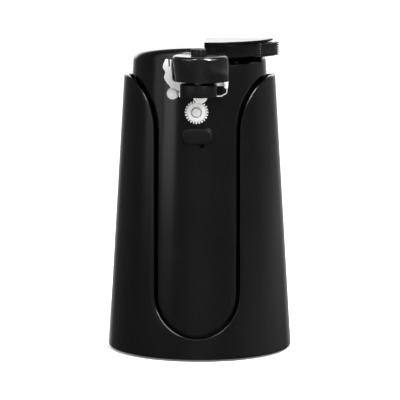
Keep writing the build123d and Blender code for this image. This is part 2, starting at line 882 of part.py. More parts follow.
with BuildPart() as drive_wheel:
    with BuildSketch(at_y(drive_wheel_back_y)):
        with BuildLine():
            Polyline(*star, close=True)
        make_face()
        with Locations(output_centre):
            Circle(drive_shaft_radius + pin_fit / 2, mode=Mode.SUBTRACT)
    extrude(amount=drive_wheel_back_y - drive_wheel_front_y)
    with BuildSketch(at_y(drive_wheel_front_y + wheel_recess_depth)):
        with Locations(output_centre):
            Circle(drive_end_radius + wheel_recess_gap)
    extrude(amount=wheel_recess_depth, mode=Mode.SUBTRACT)
drive_wheel.part.label = "drive_wheel"
export_step(drive_wheel.part, "parts/drive_wheel.step")

with BuildPart() as drive_shaft:
    with BuildSketch(at_y(rear_plate_back)):
        with Locations(output_centre):
            Circle(drive_shaft_radius)
    extrude(amount=rear_plate_back - drive_wheel_front_y - wheel_recess_depth)
    with BuildSketch(at_y(drive_wheel_front_y + wheel_recess_depth)):
        with Locations(output_centre):
            Circle(drive_end_radius)
    extrude(amount=wheel_recess_depth + drive_end_thickness)
    chamfer(drive_shaft.faces().sort_by(Axis.Y)[0].edges(), pivot_head_chamfer)
    with BuildSketch(at_y(bush_front_y - running_gap)):
        with Locations(output_centre):
            Circle(shaft_collar_radius)
    extrude(amount=bush_front_y - running_gap - drive_wheel_back_y)
drive_shaft.part.label = "drive_shaft"
export_step(drive_shaft.part, "parts/drive_shaft.step")

with BuildPart() as output_gear:
    with BuildSketch(at_y(output_gear_front_y + output_gear_width)):
        with BuildLine():
            Polyline(
                *gear_outline(
                    output_gear_teeth,
                    module_output,
                    output_centre,
                    angle_to(output_centre, second_centre) + pi / output_gear_teeth,
                ),
                close=True,
            )
        make_face()
        with Locations(output_centre):
            Circle(drive_shaft_radius + pin_fit / 2, mode=Mode.SUBTRACT)
    extrude(amount=output_gear_width)
output_gear.part.label = "output_gear"
export_step(output_gear.part, "parts/output_gear.step")

# ---------- Compound gears: a large gear and a pinion moulded on one hub ----------
with BuildPart() as second_gear:
    with BuildSketch(at_y(second_gear_front_y + second_gear_width)):
        with BuildLine():
            Polyline(
                *gear_outline(
                    second_gear_teeth,
                    module_middle,
                    second_centre,
                    angle_to(second_centre, first_centre) + pi / second_gear_teeth,
                ),
                close=True,
            )
        make_face()
    extrude(amount=second_gear_width)
    with BuildSketch(at_y(second_gear_front_y)):
        with BuildLine():
            Polyline(
                *gear_outline(
                    second_pinion_teeth,
                    module_output,
                    second_centre,
                    angle_to(second_centre, output_centre),
                ),
                close=True,
            )
        make_face()
    extrude(amount=second_gear_front_y - output_gear_front_y + running_gap)
    with BuildSketch(at_y(rear_plate_y - running_gap)):
        with Locations(second_centre):
            Circle(gear_hub_radius)
    extrude(amount=rear_plate_y - second_gear_front_y - second_gear_width - running_gap)
    with BuildSketch(at_y(rear_plate_y)):
        with Locations(second_centre):
            Circle(axle_radius + pin_fit)
    extrude(amount=rear_plate_y - front_plate_y, mode=Mode.SUBTRACT)
second_gear.part.label = "second_gear"
export_step(second_gear.part, "parts/second_gear.step")

with BuildPart() as first_gear:
    with BuildSketch(at_y(first_gear_front_y + first_gear_width)):
        with BuildLine():
            Polyline(
                *gear_outline(
                    first_gear_teeth,
                    module_motor,
                    first_centre,
                    angle_to(first_centre, motor_centre) + pi / first_gear_teeth,
                ),
                close=True,
            )
        make_face()
    extrude(amount=first_gear_width)
    with BuildSketch(at_y(first_gear_front_y)):
        with BuildLine():
            Polyline(
                *gear_outline(
                    first_pinion_teeth,
                    module_middle,
                    first_centre,
                    angle_to(first_centre, second_centre),
                ),
                close=True,
            )
        make_face()
    extrude(amount=first_gear_front_y - second_gear_front_y + running_gap)
    with BuildSketch(at_y(second_gear_front_y - running_gap)):
        with Locations(first_centre):
            Circle(gear_hub_radius)
    extrude(amount=second_gear_front_y - plate_back - 2 * running_gap)
    with BuildSketch(at_y(rear_plate_y - running_gap)):
        with Locations(first_centre):
            Circle(gear_hub_radius)
    extrude(amount=rear_plate_y - first_gear_front_y - first_gear_width - running_gap)
    with BuildSketch(at_y(rear_plate_y)):
        with Locations(first_centre):
            Circle(axle_radius + pin_fit)
    extrude(amount=rear_plate_y - front_plate_y, mode=Mode.SUBTRACT)
first_gear.part.label = "first_gear"
export_step(first_gear.part, "parts/first_gear.step")

# ---------- Cutter bracket: stamped steel, hangs on the pivot pin ----------
hole_spots = [(lever_screw_left_x, lever_screw_z), (lever_screw_left_x + lever_screw_pitch, lever_screw_z)]
# Hooked finger left of the pivot, as points from the pivot: outer edge down, inner edge up
finger_outer = [(-5.1, 23.8), (-6.5, 17.9), (-6.0, 15.9), (-5.0, 13.7), (-5.8, 11.2), (-5.0, 8.9), (-2.2, 4.6)]
finger_inner = [(4.4, 4.7), (1.0, 8.8), (-0.3, 17.7), (-0.7, 19.0), (-1.7, 23.3), (-2.1, 23.3)]
finger_slit = [(-2.1, 19.7), (-2.7, 19.7), (-3.0, 23.9)]
web_bottom_z = pivot_z - web_bottom_drop
web_notch_z = pivot_z + web_notch_rise
web_top_z = pivot_z + web_top_rise
tab_top_z = pivot_z + tab_top_rise
left_tab_middle_z = pivot_z - left_tab_bottom_drop + left_tab_height / 2
guide_bend_z = pivot_z + guide_bend_rise
guide_foot_z = pivot_z - guide_foot_drop
with BuildPart() as cutter_bracket:
    with BuildSketch(at_y(bracket_back_y)):
        with BuildLine():
            edge = Spline(*[(pivot_x + x, pivot_z + z) for x, z in finger_outer])
            Polyline(
                edge @ 1,
                (pivot_x, pivot_z + bracket_lobe_radius),
                (pivot_x + bracket_lobe_radius, web_bottom_z),
                (web_low_right_x, web_bottom_z),
                (web_low_right_x, web_notch_z),
                (web_right_x, web_notch_z),
                (web_right_x, web_top_z),
                (arm_left_x, web_top_z),
                (arm_left_x, housing_bottom_z),
                *[(pivot_x + x, pivot_z + z) for x, z in finger_inner + finger_slit],
                edge @ 0,
            )
        make_face()
        with Locations((pivot_x, pivot_z)):
            Circle(bracket_lobe_radius)
            Circle(pivot_pin_radius + pin_fit, mode=Mode.SUBTRACT)
        with Locations(hole_spots):
            Circle(screw_radius + screw_fit, mode=Mode.SUBTRACT)
        with Locations((cutter_x, cutter_z)):
            Circle(cutter_axle_radius + pin_fit / 2, mode=Mode.SUBTRACT)
    extrude(amount=bracket_thickness)
    with BuildSketch(at_y(bracket_back_y)):
        with BuildLine():
            Polyline(
                (web_right_x + tab_thickness, tab_top_z),
                (web_right_x + tab_thickness, guide_bend_z),
                (guide_foot_x, guide_foot_z),
                (web_low_right_x, guide_foot_z),
                (web_low_right_x, guide_foot_z + guide_thickness),
                (guide_foot_x, guide_foot_z + guide_thickness),
                (web_right_x, guide_bend_z + guide_thickness / 2),
                (web_right_x, tab_top_z),
                close=True,
            )
        make_face()
    extrude(amount=bracket_thickness + right_tab_depth)
    with BuildSketch(at_y(bracket_front_y)):
        with Locations((left_tab_x, left_tab_middle_z)):
            Rectangle(tab_thickness, left_tab_height)
    extrude(amount=left_tab_depth)
cutter_bracket.part.label = "cutter_bracket"
export_step(cutter_bracket.part, "parts/cutter_bracket.step")

# ---------- Cutting wheel on its riveted axle ----------
cutter_back_y = cutter_front_y + cutter_thickness
hub_back_y = bracket_front_y - running_gap
with BuildPart() as cutting_wheel:
    with BuildSketch(Plane((cutter_x, 0, cutter_z), x_dir=(1, 0, 0), z_dir=(0, 0, 1))):
        with BuildLine():
            Polyline(
                (cutter_axle_radius + pin_fit, hub_back_y),
                (cutter_hub_radius, hub_back_y),
                (cutter_hub_radius, cutter_back_y),
                (cutter_radius, cutter_back_y + cutter_bevel_back - cutter_thickness / 2),
                (cutter_hub_radius + cutter_bevel_width, cutter_front_y),
                (cutter_axle_radius + pin_fit, cutter_front_y),
                close=True,
            )
        make_face()
    revolve(axis=Axis((cutter_x, 0, cutter_z), (0, 1, 0)))
cutting_wheel.part.label = "cutting_wheel"
export_step(cutting_wheel.part, "parts/cutting_wheel.step")

axle_head_y = cutter_front_y - running_gap
with BuildPart() as cutter_axle:
    with BuildSketch(at_y(bracket_back_y)):
        with Locations((cutter_x, cutter_z)):
            Circle(cutter_axle_radius)
    extrude(amount=bracket_back_y - axle_head_y)
    with BuildSketch(at_y(axle_head_y)):
        with Locations((cutter_x, cutter_z)):
            Circle(cutter_axle_head_radius)
    extrude(amount=cutter_axle_head_thickness)
cutter_axle.part.label = "cutter_axle"
export_step(cutter_axle.part, "parts/cutter_axle.step")

# ---------- Lever handle: a cap over the pocket, an arm to the left, a ribbed grip ----------
lever_level = (lever_top_z + lever_bottom_z) / 2
lever_across = half_width(lever_level) - ledge + lever_overhang
lever_along = half_depth(lever_level) - ledge / 2 + lever_overhang
lever_back_y = pocket_back_y - lever_back_gap
lever_back_skirt_z = lever_bottom_z + lever_back_skirt_height
actuator_bottom_z = lever_bottom_z - actuator_drop
pad_low_top_z = pad_bottom_z + pad_low_height
grip_right_x = rim_half_width + grip_proud
grip_left_x = rim_half_width - grip_root_inset
grip_half_depth = rim_half_depth - grip_depth_inset
grip_front_y = lever_back_y - grip_length
cap_right_x = rim_half_width - cap_right_inset

with BuildPart() as grip_block:
    with BuildSketch(Plane.XY.offset(lever_bottom_z)):
        with Locations((0, -ledge / 2)):
            Ellipse(grip_right_x, grip_half_depth)
        with Locations(((grip_left_x + base_half_width) / 2, (lever_back_y + grip_front_y) / 2)):
            Rectangle(base_half_width - grip_left_x, lever_back_y - grip_front_y, mode=Mode.INTERSECT)
    extrude(amount=lever_top_z - grip_top_drop - lever_bottom_z)
    grip_rise = lever_top_z - grip_top_drop - lever_bottom_z
    for index in range(grip_grooves):
        groove_z = lever_bottom_z + grip_rise * (index + 1) / (grip_grooves + 1)
        with BuildSketch(Plane.XY.offset(groove_z - grip_groove_height / 2)):
            with Locations((0, -ledge / 2)):
                Ellipse(grip_right_x + near_margin, grip_half_depth + near_margin)
                Ellipse(grip_right_x - grip_groove_depth, grip_half_depth - grip_groove_depth, mode=Mode.SUBTRACT)
        extrude(amount=grip_groove_height, mode=Mode.SUBTRACT)

with BuildPart() as lever_handle:
    with BuildSketch(Plane.XY.offset(lever_bottom_z)):
        with Locations((0, -ledge / 2)):
            Ellipse(lever_across, lever_along)
        with Locations(((lever_left_x + base_half_width) / 2, (lever_back_y - far_front) / 2)):
            Rectangle(base_half_width - lever_left_x, far_front + lever_back_y, mode=Mode.INTERSECT)
    extrude(amount=lever_top_z - lever_bottom_z)
    with BuildSketch(Plane.XY.offset(lever_bottom_z)):
        with Locations((0, -ledge / 2)):
            Ellipse(lever_across - lever_wall, lever_along - lever_wall)
        with Locations(((lever_left_x + lever_wall + base_half_width) / 2, (lever_back_y - lever_wall - far_front) / 2)):
            Rectangle(
                base_half_width - lever_left_x - lever_wall,
                far_front + lever_back_y - lever_wall,
                mode=Mode.INTERSECT,
            )
    extrude(amount=lever_top_z - lever_roof - lever_bottom_z, mode=Mode.SUBTRACT)
    with BuildSketch(Plane.XY.offset(lever_bottom_z)):
        with Locations(((lever_left_x + base_half_width) / 2, lever_back_y - lever_wall / 2)):
            Rectangle(base_half_width - lever_left_x, lever_wall)
    extrude(amount=lever_back_skirt_z - lever_bottom_z, mode=Mode.SUBTRACT)
    add(grip_block.part)
    with BuildSketch(Plane.XY.offset(lever_top_z - arm_thickness)):
        with Locations(((arm_left_x + pad_right_x) / 2, (bracket_back_y + lever_back_y) / 2)):
            Rectangle(pad_right_x - arm_left_x, lever_back_y - bracket_back_y)
    extrude(amount=arm_thickness)
    for left_x, top_z in ((arm_left_x, pad_low_top_z), (pad_high_left_x, lever_top_z)):
        with BuildSketch(Plane.XY.offset(pad_bottom_z)):
            with Locations(((left_x + pad_right_x) / 2, bracket_back_y + pad_thickness / 2)):
                Rectangle(pad_right_x - left_x, pad_thickness)
        extrude(amount=top_z - pad_bottom_z)
    with BuildSketch(Plane.XY.offset(actuator_bottom_z)):
        with Locations((switch_x, switch_y)):
            Rectangle(actuator_width, actuator_depth)
    extrude(amount=lever_top_z - lever_roof - actuator_bottom_z)
    with BuildSketch(at_y(bracket_back_y + pad_thickness)):
        with Locations(hole_spots):
            Circle(screw_radius + screw_fit)
    extrude(amount=pad_thickness, mode=Mode.SUBTRACT)
    with BuildSketch(at_y(bracket_back_y + pad_thickness)):
        with Locations(hole_spots):
            Circle(screw_head_radius + screw_fit)
    extrude(amount=screw_head_height, mode=Mode.SUBTRACT)
lever_handle.part.label = "lever_handle"
export_step(lever_handle.part, "parts/lever_handle.step")

with BuildPart() as lever_cap:
    with BuildSketch(Plane.XY.offset(lever_top_z)):
        with Locations((0, -ledge / 2)):
            Ellipse(cap_right_x, lever_along)
        with Locations(((arm_left_x + base_half_width) / 2, (lever_back_y + bracket_back_y) / 2)):
            Rectangle(base_half_width - arm_left_x, lever_back_y - bracket_back_y, mode=Mode.INTERSECT)
    extrude(amount=cap_thickness)
    chamfer(lever_cap.faces().sort_by(Axis.Z)[-1].edges(), cap_edge_chamfer)
lever_cap.part.label = "lever_cap"
export_step(lever_cap.part, "parts/lever_cap.step")

with BuildPart() as lever_screws:
    with BuildSketch(at_y(bracket_back_y + pad_thickness)):
        with Locations(hole_spots):
            Circle(screw_head_radius)
    extrude(amount=screw_head_height)
    with BuildSketch(at_y(bracket_back_y + pad_thickness - screw_head_height)):
        with Locations(hole_spots):
            Circle(screw_radius)
    extrude(amount=pad_thickness - screw_head_height + bracket_thickness + housing_wall + lever_screw_grip)
lever_screws.part.label = "lever_screws"
export_step(lever_screws.part, "parts/lever_screws.step")

# ---------- Magnet housing: a drum, open below, screwed to the front of the bracket ----------
with BuildPart() as housing_hollow:
    with BuildSketch(Plane.XY.offset(housing_bottom_z - near_margin)):
        with Locations((housing_bottom_x, housing_y)):
            Circle(housing_bottom_radius - housing_wall)
    with BuildSketch(Plane.XY.offset(housing_top_z - housing_wall)):
        with Locations((housing_top_x, housing_y)):
            Circle(housing_top_radius - housing_wall)
    loft()
    split(bisect_by=at_y(bracket_front_y - housing_wall), keep=Keep.TOP)

with BuildPart() as magnet_housing:
    with BuildSketch(Plane.XY.offset(housing_bottom_z)):
        with Locations((housing_bottom_x, housing_y)):
            Circle(housing_bottom_radius)
    with BuildSketch(Plane.XY.offset(housing_top_z)):
        with Locations((housing_top_x, housing_y)):
            Circle(housing_top_radius)
    loft()
    fillet(magnet_housing.faces().sort_by(Axis.Z)[-1].edges(), housing_edge_radius)
    split(bisect_by=at_y(bracket_front_y), keep=Keep.TOP)
    add(housing_hollow.part, mode=Mode.SUBTRACT)
    with BuildSketch(at_y(bracket_front_y)):
        with Locations(hole_spots):
            Circle(screw_radius + housing_wall)
    extrude(amount=housing_wall + lever_screw_grip + near_margin)
    with BuildSketch(at_y(bracket_front_y)):
        with Locations(hole_spots):
            Circle(screw_radius + screw_fit)
    extrude(amount=housing_wall + lever_screw_grip, mode=Mode.SUBTRACT)
    with BuildSketch(Plane.XY.offset(housing_top_z - housing_wall)):
        with Locations((magnet_x, magnet_y)):
            Circle(stem_radius + pin_fit)
    extrude(amount=housing_wall, mode=Mode.SUBTRACT)
magnet_housing.part.label = "magnet_housing"
export_step(magnet_housing.part, "parts/magnet_housing.step")

# ---------- Magnet holder, lid magnet, stem and knob: they float together ----------
holder_top_z = holder_bottom_z + holder_height
with BuildPart() as magnet_holder:
    with BuildSketch(Plane.XY.offset(holder_bottom_z)):
        with Locations((magnet_x, magnet_y)):
            Circle(holder_radius)
    extrude(amount=holder_height)
    fillet(magnet_holder.edges().filter_by(GeomType.CIRCLE), holder_edge_radius)
    with BuildSketch(Plane.XY.offset(holder_bottom_z)):
        with Locations((magnet_x, magnet_y)):
            Circle(magnet_radius + pin_fit / 2)
    extrude(amount=magnet_thickness, mode=Mode.SUBTRACT)
    with BuildSketch(Plane.XY.offset(holder_top_z - stem_sink)):
        with Locations((magnet_x, magnet_y)):
            Circle(stem_radius + pin_fit / 2)
    extrude(amount=stem_sink, mode=Mode.SUBTRACT)
magnet_holder.part.label = "magnet_holder"
export_step(magnet_holder.part, "parts/magnet_holder.step")

with BuildPart() as lid_magnet:
    with BuildSketch(Plane.XY.offset(holder_bottom_z)):
        with Locations((magnet_x, magnet_y)):
            Circle(magnet_radius)
    extrude(amount=magnet_thickness)
lid_magnet.part.label = "lid_magnet"
export_step(lid_magnet.part, "parts/lid_magnet.step")

knob_bottom_z = housing_top_z + running_gap
with BuildPart() as magnet_stem:
    with BuildSketch(Plane.XY.offset(holder_top_z - stem_sink)):
        with Locations((magnet_x, magnet_y)):
            Circle(stem_radius)
    extrude(amount=knob_bottom_z + knob_sink - holder_top_z + stem_sink)
magnet_stem.part.label = "magnet_stem"
export_step(magnet_stem.part, "parts/magnet_stem.step")

with BuildPart() as magnet_knob:
    with BuildSketch(Plane.XY.offset(knob_bottom_z)):
        with Locations((magnet_x, magnet_y)):
            Circle(knob_radius)
    extrude(amount=knob_height)
    chamfer(magnet_knob.faces().sort_by(Axis.Z)[-1].edges(), knob_chamfer)
    with BuildSketch(Plane.XY.offset(knob_bottom_z)):
        with Locations((magnet_x, magnet_y)):
            with PolarLocations(knob_radius + knob_scallop_radius / 2, knob_scallops):
                Circle(knob_scallop_radius)
    extrude(amount=knob_height, mode=Mode.SUBTRACT)
    with BuildSketch(Plane.XY.offset(knob_bottom_z)):
        with Locations((magnet_x, magnet_y)):
            Circle(stem_radius + pin_fit / 2)
    extrude(amount=knob_sink, mode=Mode.SUBTRACT)
magnet_knob.part.label = "magnet_knob"
export_step(magnet_knob.part, "parts/magnet_knob.step")

# ---------- Motor rotor: core, shaft, pinion and cooling fan ----------
motor_shaft_front_y = first_gear_front_y - motor_shaft_nose
motor_shaft_back_y = stack_back_y + motor_shaft_tail
fan_front_y = stack_back_y + fan_gap
with BuildPart() as rotor_core:
    with BuildSketch(at_y(stack_back_y)):
        with Locations(motor_centre):
            Circle(rotor_radius)
            Circle(motor_shaft_radius + pin_fit / 2, mode=Mode.SUBTRACT)
    extrude(amount=stack_depth)
rotor_core.part.label = "rotor_core"
export_step(rotor_core.part, "parts/rotor_core.step")

with BuildPart() as motor_shaft:
    with BuildSketch(at_y(motor_shaft_back_y)):
        with Locations(motor_centre):
            Circle(motor_shaft_radius)
    extrude(amount=motor_shaft_back_y - motor_shaft_front_y)
motor_shaft.part.label = "motor_shaft"
export_step(motor_shaft.part, "parts/motor_shaft.step")

with BuildPart() as motor_pinion:
    with BuildSketch(at_y(first_gear_front_y + first_gear_width + running_gap)):
        with BuildLine():
            Polyline(
                *gear_outline(
                    motor_pinion_teeth,
                    module_motor,
                    motor_centre,
                    angle_to(motor_centre, first_centre),
                ),
                close=True,
            )
        make_face()
        with Locations(motor_centre):
            Circle(motor_shaft_radius + pin_fit / 2, mode=Mode.SUBTRACT)
    extrude(amount=first_gear_width + 2 * running_gap)
motor_pinion.part.label = "motor_pinion"
export_step(motor_pinion.part, "parts/motor_pinion.step")

fan_turn = 2 * pi / fan_blades
with BuildPart() as cooling_fan:
    with BuildSketch(at_y(fan_front_y + fan_width)):
        with Locations(motor_centre):
            Circle(fan_hub_radius)
    extrude(amount=fan_width)
    with BuildSketch(at_y(fan_front_y + fan_web)):
        with Locations(motor_centre):
            Circle(fan_radius)
    extrude(amount=fan_web)
    with BuildSketch(at_y(fan_front_y + fan_width)):
        for index in range(fan_blades):
            around = index * fan_turn
            middle = (fan_radius + fan_hub_radius) / 2
            with Locations((motor_centre[0] + middle * cos(around), motor_z + middle * sin(around))):
                Rectangle(fan_radius - fan_hub_radius, fan_blade_thickness, rotation=degrees(around) + fan_blade_tilt)
        with Locations(motor_centre):
            Circle(fan_radius, mode=Mode.INTERSECT)
    extrude(amount=fan_width)
    with BuildSketch(at_y(fan_front_y + fan_width)):
        with Locations(motor_centre):
            Circle(motor_shaft_radius + pin_fit / 2)
    extrude(amount=fan_width, mode=Mode.SUBTRACT)
cooling_fan.part.label = "cooling_fan"
export_step(cooling_fan.part, "parts/cooling_fan.step")

# ---------- Motor stator: laminated stack, bobbin and coil, brackets, bearings, bolts ----------
leg_top_z = stack_bottom_z + stack_leg_height
leg_middle_z = stack_bottom_z + stack_leg_height / 2
stack_middle_y = stack_front_y + stack_depth / 2
with BuildPart() as motor_stack:
    with BuildSketch(at_y(stack_back_y)):
        with Locations((0, (stack_top_z + stack_bottom_z) / 2)):
            Rectangle(2 * stack_half_width, stack_top_z - stack_bottom_z)
        with Locations((0, leg_top_z + stack_window_height / 2)):
            Rectangle(2 * stack_window_half_width, stack_window_height, mode=Mode.SUBTRACT)
        with Locations(motor_centre):
            Circle(rotor_radius + air_gap, mode=Mode.SUBTRACT)
        with Locations(motor_spots):
            Circle(screw_radius + screw_fit, mode=Mode.SUBTRACT)
    extrude(amount=stack_depth)
motor_stack.part.label = "motor_stack"
export_step(motor_stack.part, "parts/motor_stack.step")

leg_plane = Plane((0, stack_middle_y, leg_middle_z), x_dir=(0, 1, 0), z_dir=(1, 0, 0))
tube_depth = stack_depth + 2 * (pin_fit + bobbin_wall)
tube_height = stack_leg_height + 2 * (pin_fit + bobbin_wall)
with BuildPart() as coil_bobbin:
    with BuildSketch(leg_plane.offset(-bobbin_half_width)):
        Rectangle(tube_depth, tube_height)
    extrude(amount=2 * bobbin_half_width)
    for side_x in (-bobbin_half_width, bobbin_half_width - bobbin_wall):
        with BuildSketch(leg_plane.offset(side_x)):
            Rectangle(tube_depth + 2 * coil_thickness, tube_height + 2 * coil_thickness)
        extrude(amount=bobbin_wall)
    with BuildSketch(leg_plane.offset(-bobbin_half_width)):
        Rectangle(stack_depth + 2 * pin_fit, stack_leg_height + 2 * pin_fit)
    extrude(amount=2 * bobbin_half_width, mode=Mode.SUBTRACT)
coil_bobbin.part.label = "coil_bobbin"
export_step(coil_bobbin.part, "parts/coil_bobbin.step")

coil_length = 2 * (bobbin_half_width - bobbin_wall - pin_fit)
coil_inside = (tube_depth + 2 * pin_fit, tube_height + 2 * pin_fit)
with BuildPart() as motor_coil:
    with BuildSketch(leg_plane.offset(-coil_length / 2)):
        RectangleRounded(
            coil_inside[0] + 2 * (coil_thickness - coil_inset),
            coil_inside[1] + 2 * (coil_thickness - coil_inset),
            coil_corner_radius,
        )
        Rectangle(*coil_inside, mode=Mode.SUBTRACT)
    extrude(amount=coil_length)
motor_coil.part.label = "motor_coil"
export_step(motor_coil.part, "parts/motor_coil.step")

with BuildPart() as front_bracket:
    with BuildSketch(at_y(rear_plate_back + motor_bracket_thickness)):
        with Locations(motor_centre):
            Rectangle(2 * stack_half_width, 2 * motor_bracket_half_height)
            Circle(motor_bearing_radius + pin_fit / 2, mode=Mode.SUBTRACT)
    extrude(amount=motor_bracket_thickness)
    with BuildSketch(at_y(stack_front_y)):
        with Locations(motor_spots):
            Circle(motor_boss_radius)
    extrude(amount=stack_front_y - rear_plate_back - motor_bracket_thickness)
    with BuildSketch(at_y(stack_front_y)):
        with Locations(motor_spots):
            Circle(screw_radius + screw_fit)
    extrude(amount=stack_front_y - rear_plate_back, mode=Mode.SUBTRACT)
front_bracket.part.label = "front_bracket"
export_step(front_bracket.part, "parts/front_bracket.step")

rear_bracket_y = stack_back_y + rear_bracket_gap
rear_bracket_back = rear_bracket_y + motor_bracket_thickness
with BuildPart() as rear_bracket:
    with BuildSketch(at_y(rear_bracket_back)):
        with Locations(motor_centre):
            Rectangle(2 * stack_half_width, 2 * motor_bracket_half_height)
            Circle(motor_bearing_radius + pin_fit / 2, mode=Mode.SUBTRACT)
    extrude(amount=motor_bracket_thickness)
    with BuildSketch(at_y(rear_bracket_y)):
        with Locations(motor_spots):
            Circle(motor_boss_radius)
    extrude(amount=rear_bracket_gap)
    with BuildSketch(at_y(rear_bracket_back)):
        with Locations(motor_spots):
            Circle(screw_radius + screw_fit)
    extrude(amount=rear_bracket_back - stack_back_y, mode=Mode.SUBTRACT)
rear_bracket.part.label = "rear_bracket"
export_step(rear_bracket.part, "parts/rear_bracket.step")

bearing_length = motor_bracket_thickness + bearing_proud
with BuildPart() as motor_bearings:
    for bearing_back_y in (rear_plate_back + bearing_length, rear_bracket_back):
        with BuildSketch(at_y(bearing_back_y)):
            with Locations(motor_centre):
                Circle(motor_bearing_radius)
                Circle(motor_shaft_radius + pin_fit, mode=Mode.SUBTRACT)
        extrude(amount=bearing_length)
motor_bearings.part.label = "motor_bearings"
export_step(motor_bearings.part, "parts/motor_bearings.step")

with BuildPart() as motor_bolts:
    with BuildSketch(at_y(rear_bracket_back + screw_head_height)):
        with Locations(motor_spots):
            Circle(screw_head_radius)
    extrude(amount=screw_head_height)
    with BuildSketch(at_y(rear_bracket_back)):
        with Locations(motor_spots):
            Circle(screw_radius)
    extrude(amount=rear_bracket_back - rear_plate_y + bolt_end)
motor_bolts.part.label = "motor_bolts"
export_step(motor_bolts.part, "parts/motor_bolts.step")

# ---------- Switch under the lever: body, plunger and return spring ----------
plunger_top_z = pocket_floor_z + plunger_stands
plunger_bottom_z = pocket_floor_z - plunger_length
spring_bottom_z = pocket_floor_z - spring_drop
with BuildPart() as switch_body:
    with BuildSketch(Plane.XY.offset(switch_bottom_z)):
        with Locations((switch_x, switch_y)):
            Rectangle(switch_width, switch_depth)
    extrude(amount=switch_top_z - switch_bottom_z)
    with BuildSketch(Plane.XY.offset(spring_bottom_z)):
        with Locations((switch_x, switch_y)):
            Circle(plunger_radius + pin_fit)
    extrude(amount=switch_top_z - spring_bottom_z, mode=Mode.SUBTRACT)
switch_body.part.label = "switch_body"
export_step(switch_body.part, "parts/switch_body.step")

with BuildPart() as switch_plunger:
    with BuildSketch(Plane.XY.offset(plunger_bottom_z)):
        with Locations((switch_x, switch_y)):
            Circle(plunger_radius)
    extrude(amount=plunger_top_z - plunger_bottom_z)
    chamfer(switch_plunger.faces().sort_by(Axis.Z)[-1].edges(), pivot_head_chamfer)
switch_plunger.part.label = "switch_plunger"
export_step(switch_plunger.part, "parts/switch_plunger.step")

spring_length = plunger_bottom_z - spring_bottom_z - spring_wire
with BuildPart() as plunger_spring:
    with BuildLine():
        coil_line = Helix(
            pitch=spring_length / spring_turns,
            height=spring_length,
            radius=spring_radius,
            center=(switch_x, switch_y, spring_bottom_z + spring_wire / 2),
        )
    with BuildSketch(Plane(coil_line @ 0, z_dir=coil_line % 0)):
        Circle(spring_wire / 2)
    sweep(is_frenet=True)
plunger_spring.part.label = "plunger_spring"
export_step(plunger_spring.part, "parts/plunger_spring.step")
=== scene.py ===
import bpy, bmesh
from math import asin, cos, pi, radians, sin, sqrt
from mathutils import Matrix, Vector


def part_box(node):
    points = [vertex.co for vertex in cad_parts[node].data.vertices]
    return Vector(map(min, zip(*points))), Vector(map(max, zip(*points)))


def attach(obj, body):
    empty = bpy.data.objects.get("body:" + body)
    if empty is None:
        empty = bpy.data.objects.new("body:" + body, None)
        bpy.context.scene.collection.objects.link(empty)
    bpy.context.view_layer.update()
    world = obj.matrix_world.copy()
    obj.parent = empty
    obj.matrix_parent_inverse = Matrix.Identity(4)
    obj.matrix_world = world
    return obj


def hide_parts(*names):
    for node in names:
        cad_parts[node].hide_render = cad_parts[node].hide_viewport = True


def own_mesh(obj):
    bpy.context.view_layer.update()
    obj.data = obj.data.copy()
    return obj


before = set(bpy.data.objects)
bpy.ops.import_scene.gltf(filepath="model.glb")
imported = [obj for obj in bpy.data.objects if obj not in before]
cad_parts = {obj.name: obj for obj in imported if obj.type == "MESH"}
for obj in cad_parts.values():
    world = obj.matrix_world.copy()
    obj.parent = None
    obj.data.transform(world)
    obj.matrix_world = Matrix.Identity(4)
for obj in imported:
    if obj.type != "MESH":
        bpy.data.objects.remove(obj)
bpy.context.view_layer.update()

# ---------- Studio: floor, light and camera ----------
# A pale table in a white room; the key light is a tall soft box high at the front right, with weaker
# boxes beside it, above and at the left. The camera stands in front, a little to the right and above.
scene = bpy.context.scene
camera_azimuth, camera_height = radians(2.3), radians(8.55)
camera_distance = 1.7
camera_target = Vector((0.00019, 0.0, 0.10475))
towards_camera = Vector((
    sin(camera_azimuth) * cos(camera_height), -cos(camera_azimuth) * cos(camera_height), sin(camera_height),
))


def into_scene(name, data):
    """A new object in the scene, at the origin."""
    made = bpy.data.objects.new(name, data)
    scene.collection.objects.link(made)
    return made


def facing(name, data, place, direction):
    """A camera or light at a place, looking in a direction."""
    made = into_scene(name, data)
    made.location = place
    made.rotation_euler = direction.to_track_quat("-Z", "Y").to_euler()
    return made


lens = bpy.data.cameras.new("studio_camera")
lens.lens, lens.sensor_width = 216.0, 36.0
lens.clip_start, lens.clip_end = 0.05, 20.0
scene.camera = facing("studio_camera", lens, camera_target + towards_camera * camera_distance, -towards_camera)
scene.view_settings.view_transform = "Standard"

# Soft boxes: place, height of the point they face, width, height and watts
for name, place, target_z, width, height, watts in (
    ("left_box", (-1.08, -1.04, 0.62), 0.1, 0.6, 1.2, 4.0),
    ("far_left_box", (-1.4, -0.55, 0.62), 0.1, 0.5, 1.2, 1.5),
    ("right_box", (1.5, 0.75, 0.5), 0.1, 1.6, 1.3, 0.6),
    ("key_box", (0.68, -0.81, 1.24), 0.18, 0.3, 1.2, 60.0),
    ("side_key_box", (1.05, -0.56, 0.92), 0.18, 0.45, 0.45, 4.0),
    ("high_box", (-0.5, -1.0, 1.4), 0.18, 0.3, 0.3, 8.0),
):
    box = bpy.data.lights.new(name, "AREA")
    box.shape = "RECTANGLE"
    box.size, box.size_y, box.energy = width, height, watts
    facing(name, box, place, Vector((0, 0, target_z)) - Vector(place))


def fill(node, inputs):
    """Sets a node's sockets to values, or links them where the value is another node's output."""
    for title, value in inputs.items():
        if isinstance(value, bpy.types.NodeSocket):
            node.id_data.links.new(value, node.inputs[title])
        else:
            node.inputs[title].default_value = value


def add_node(tree, kind, inputs=None, **settings):
    """A new node with its settings and its filled sockets."""
    node = tree.nodes.new(kind)
    for title, value in settings.items():
        setattr(node, title, value)
    fill(node, inputs or {})
    return node


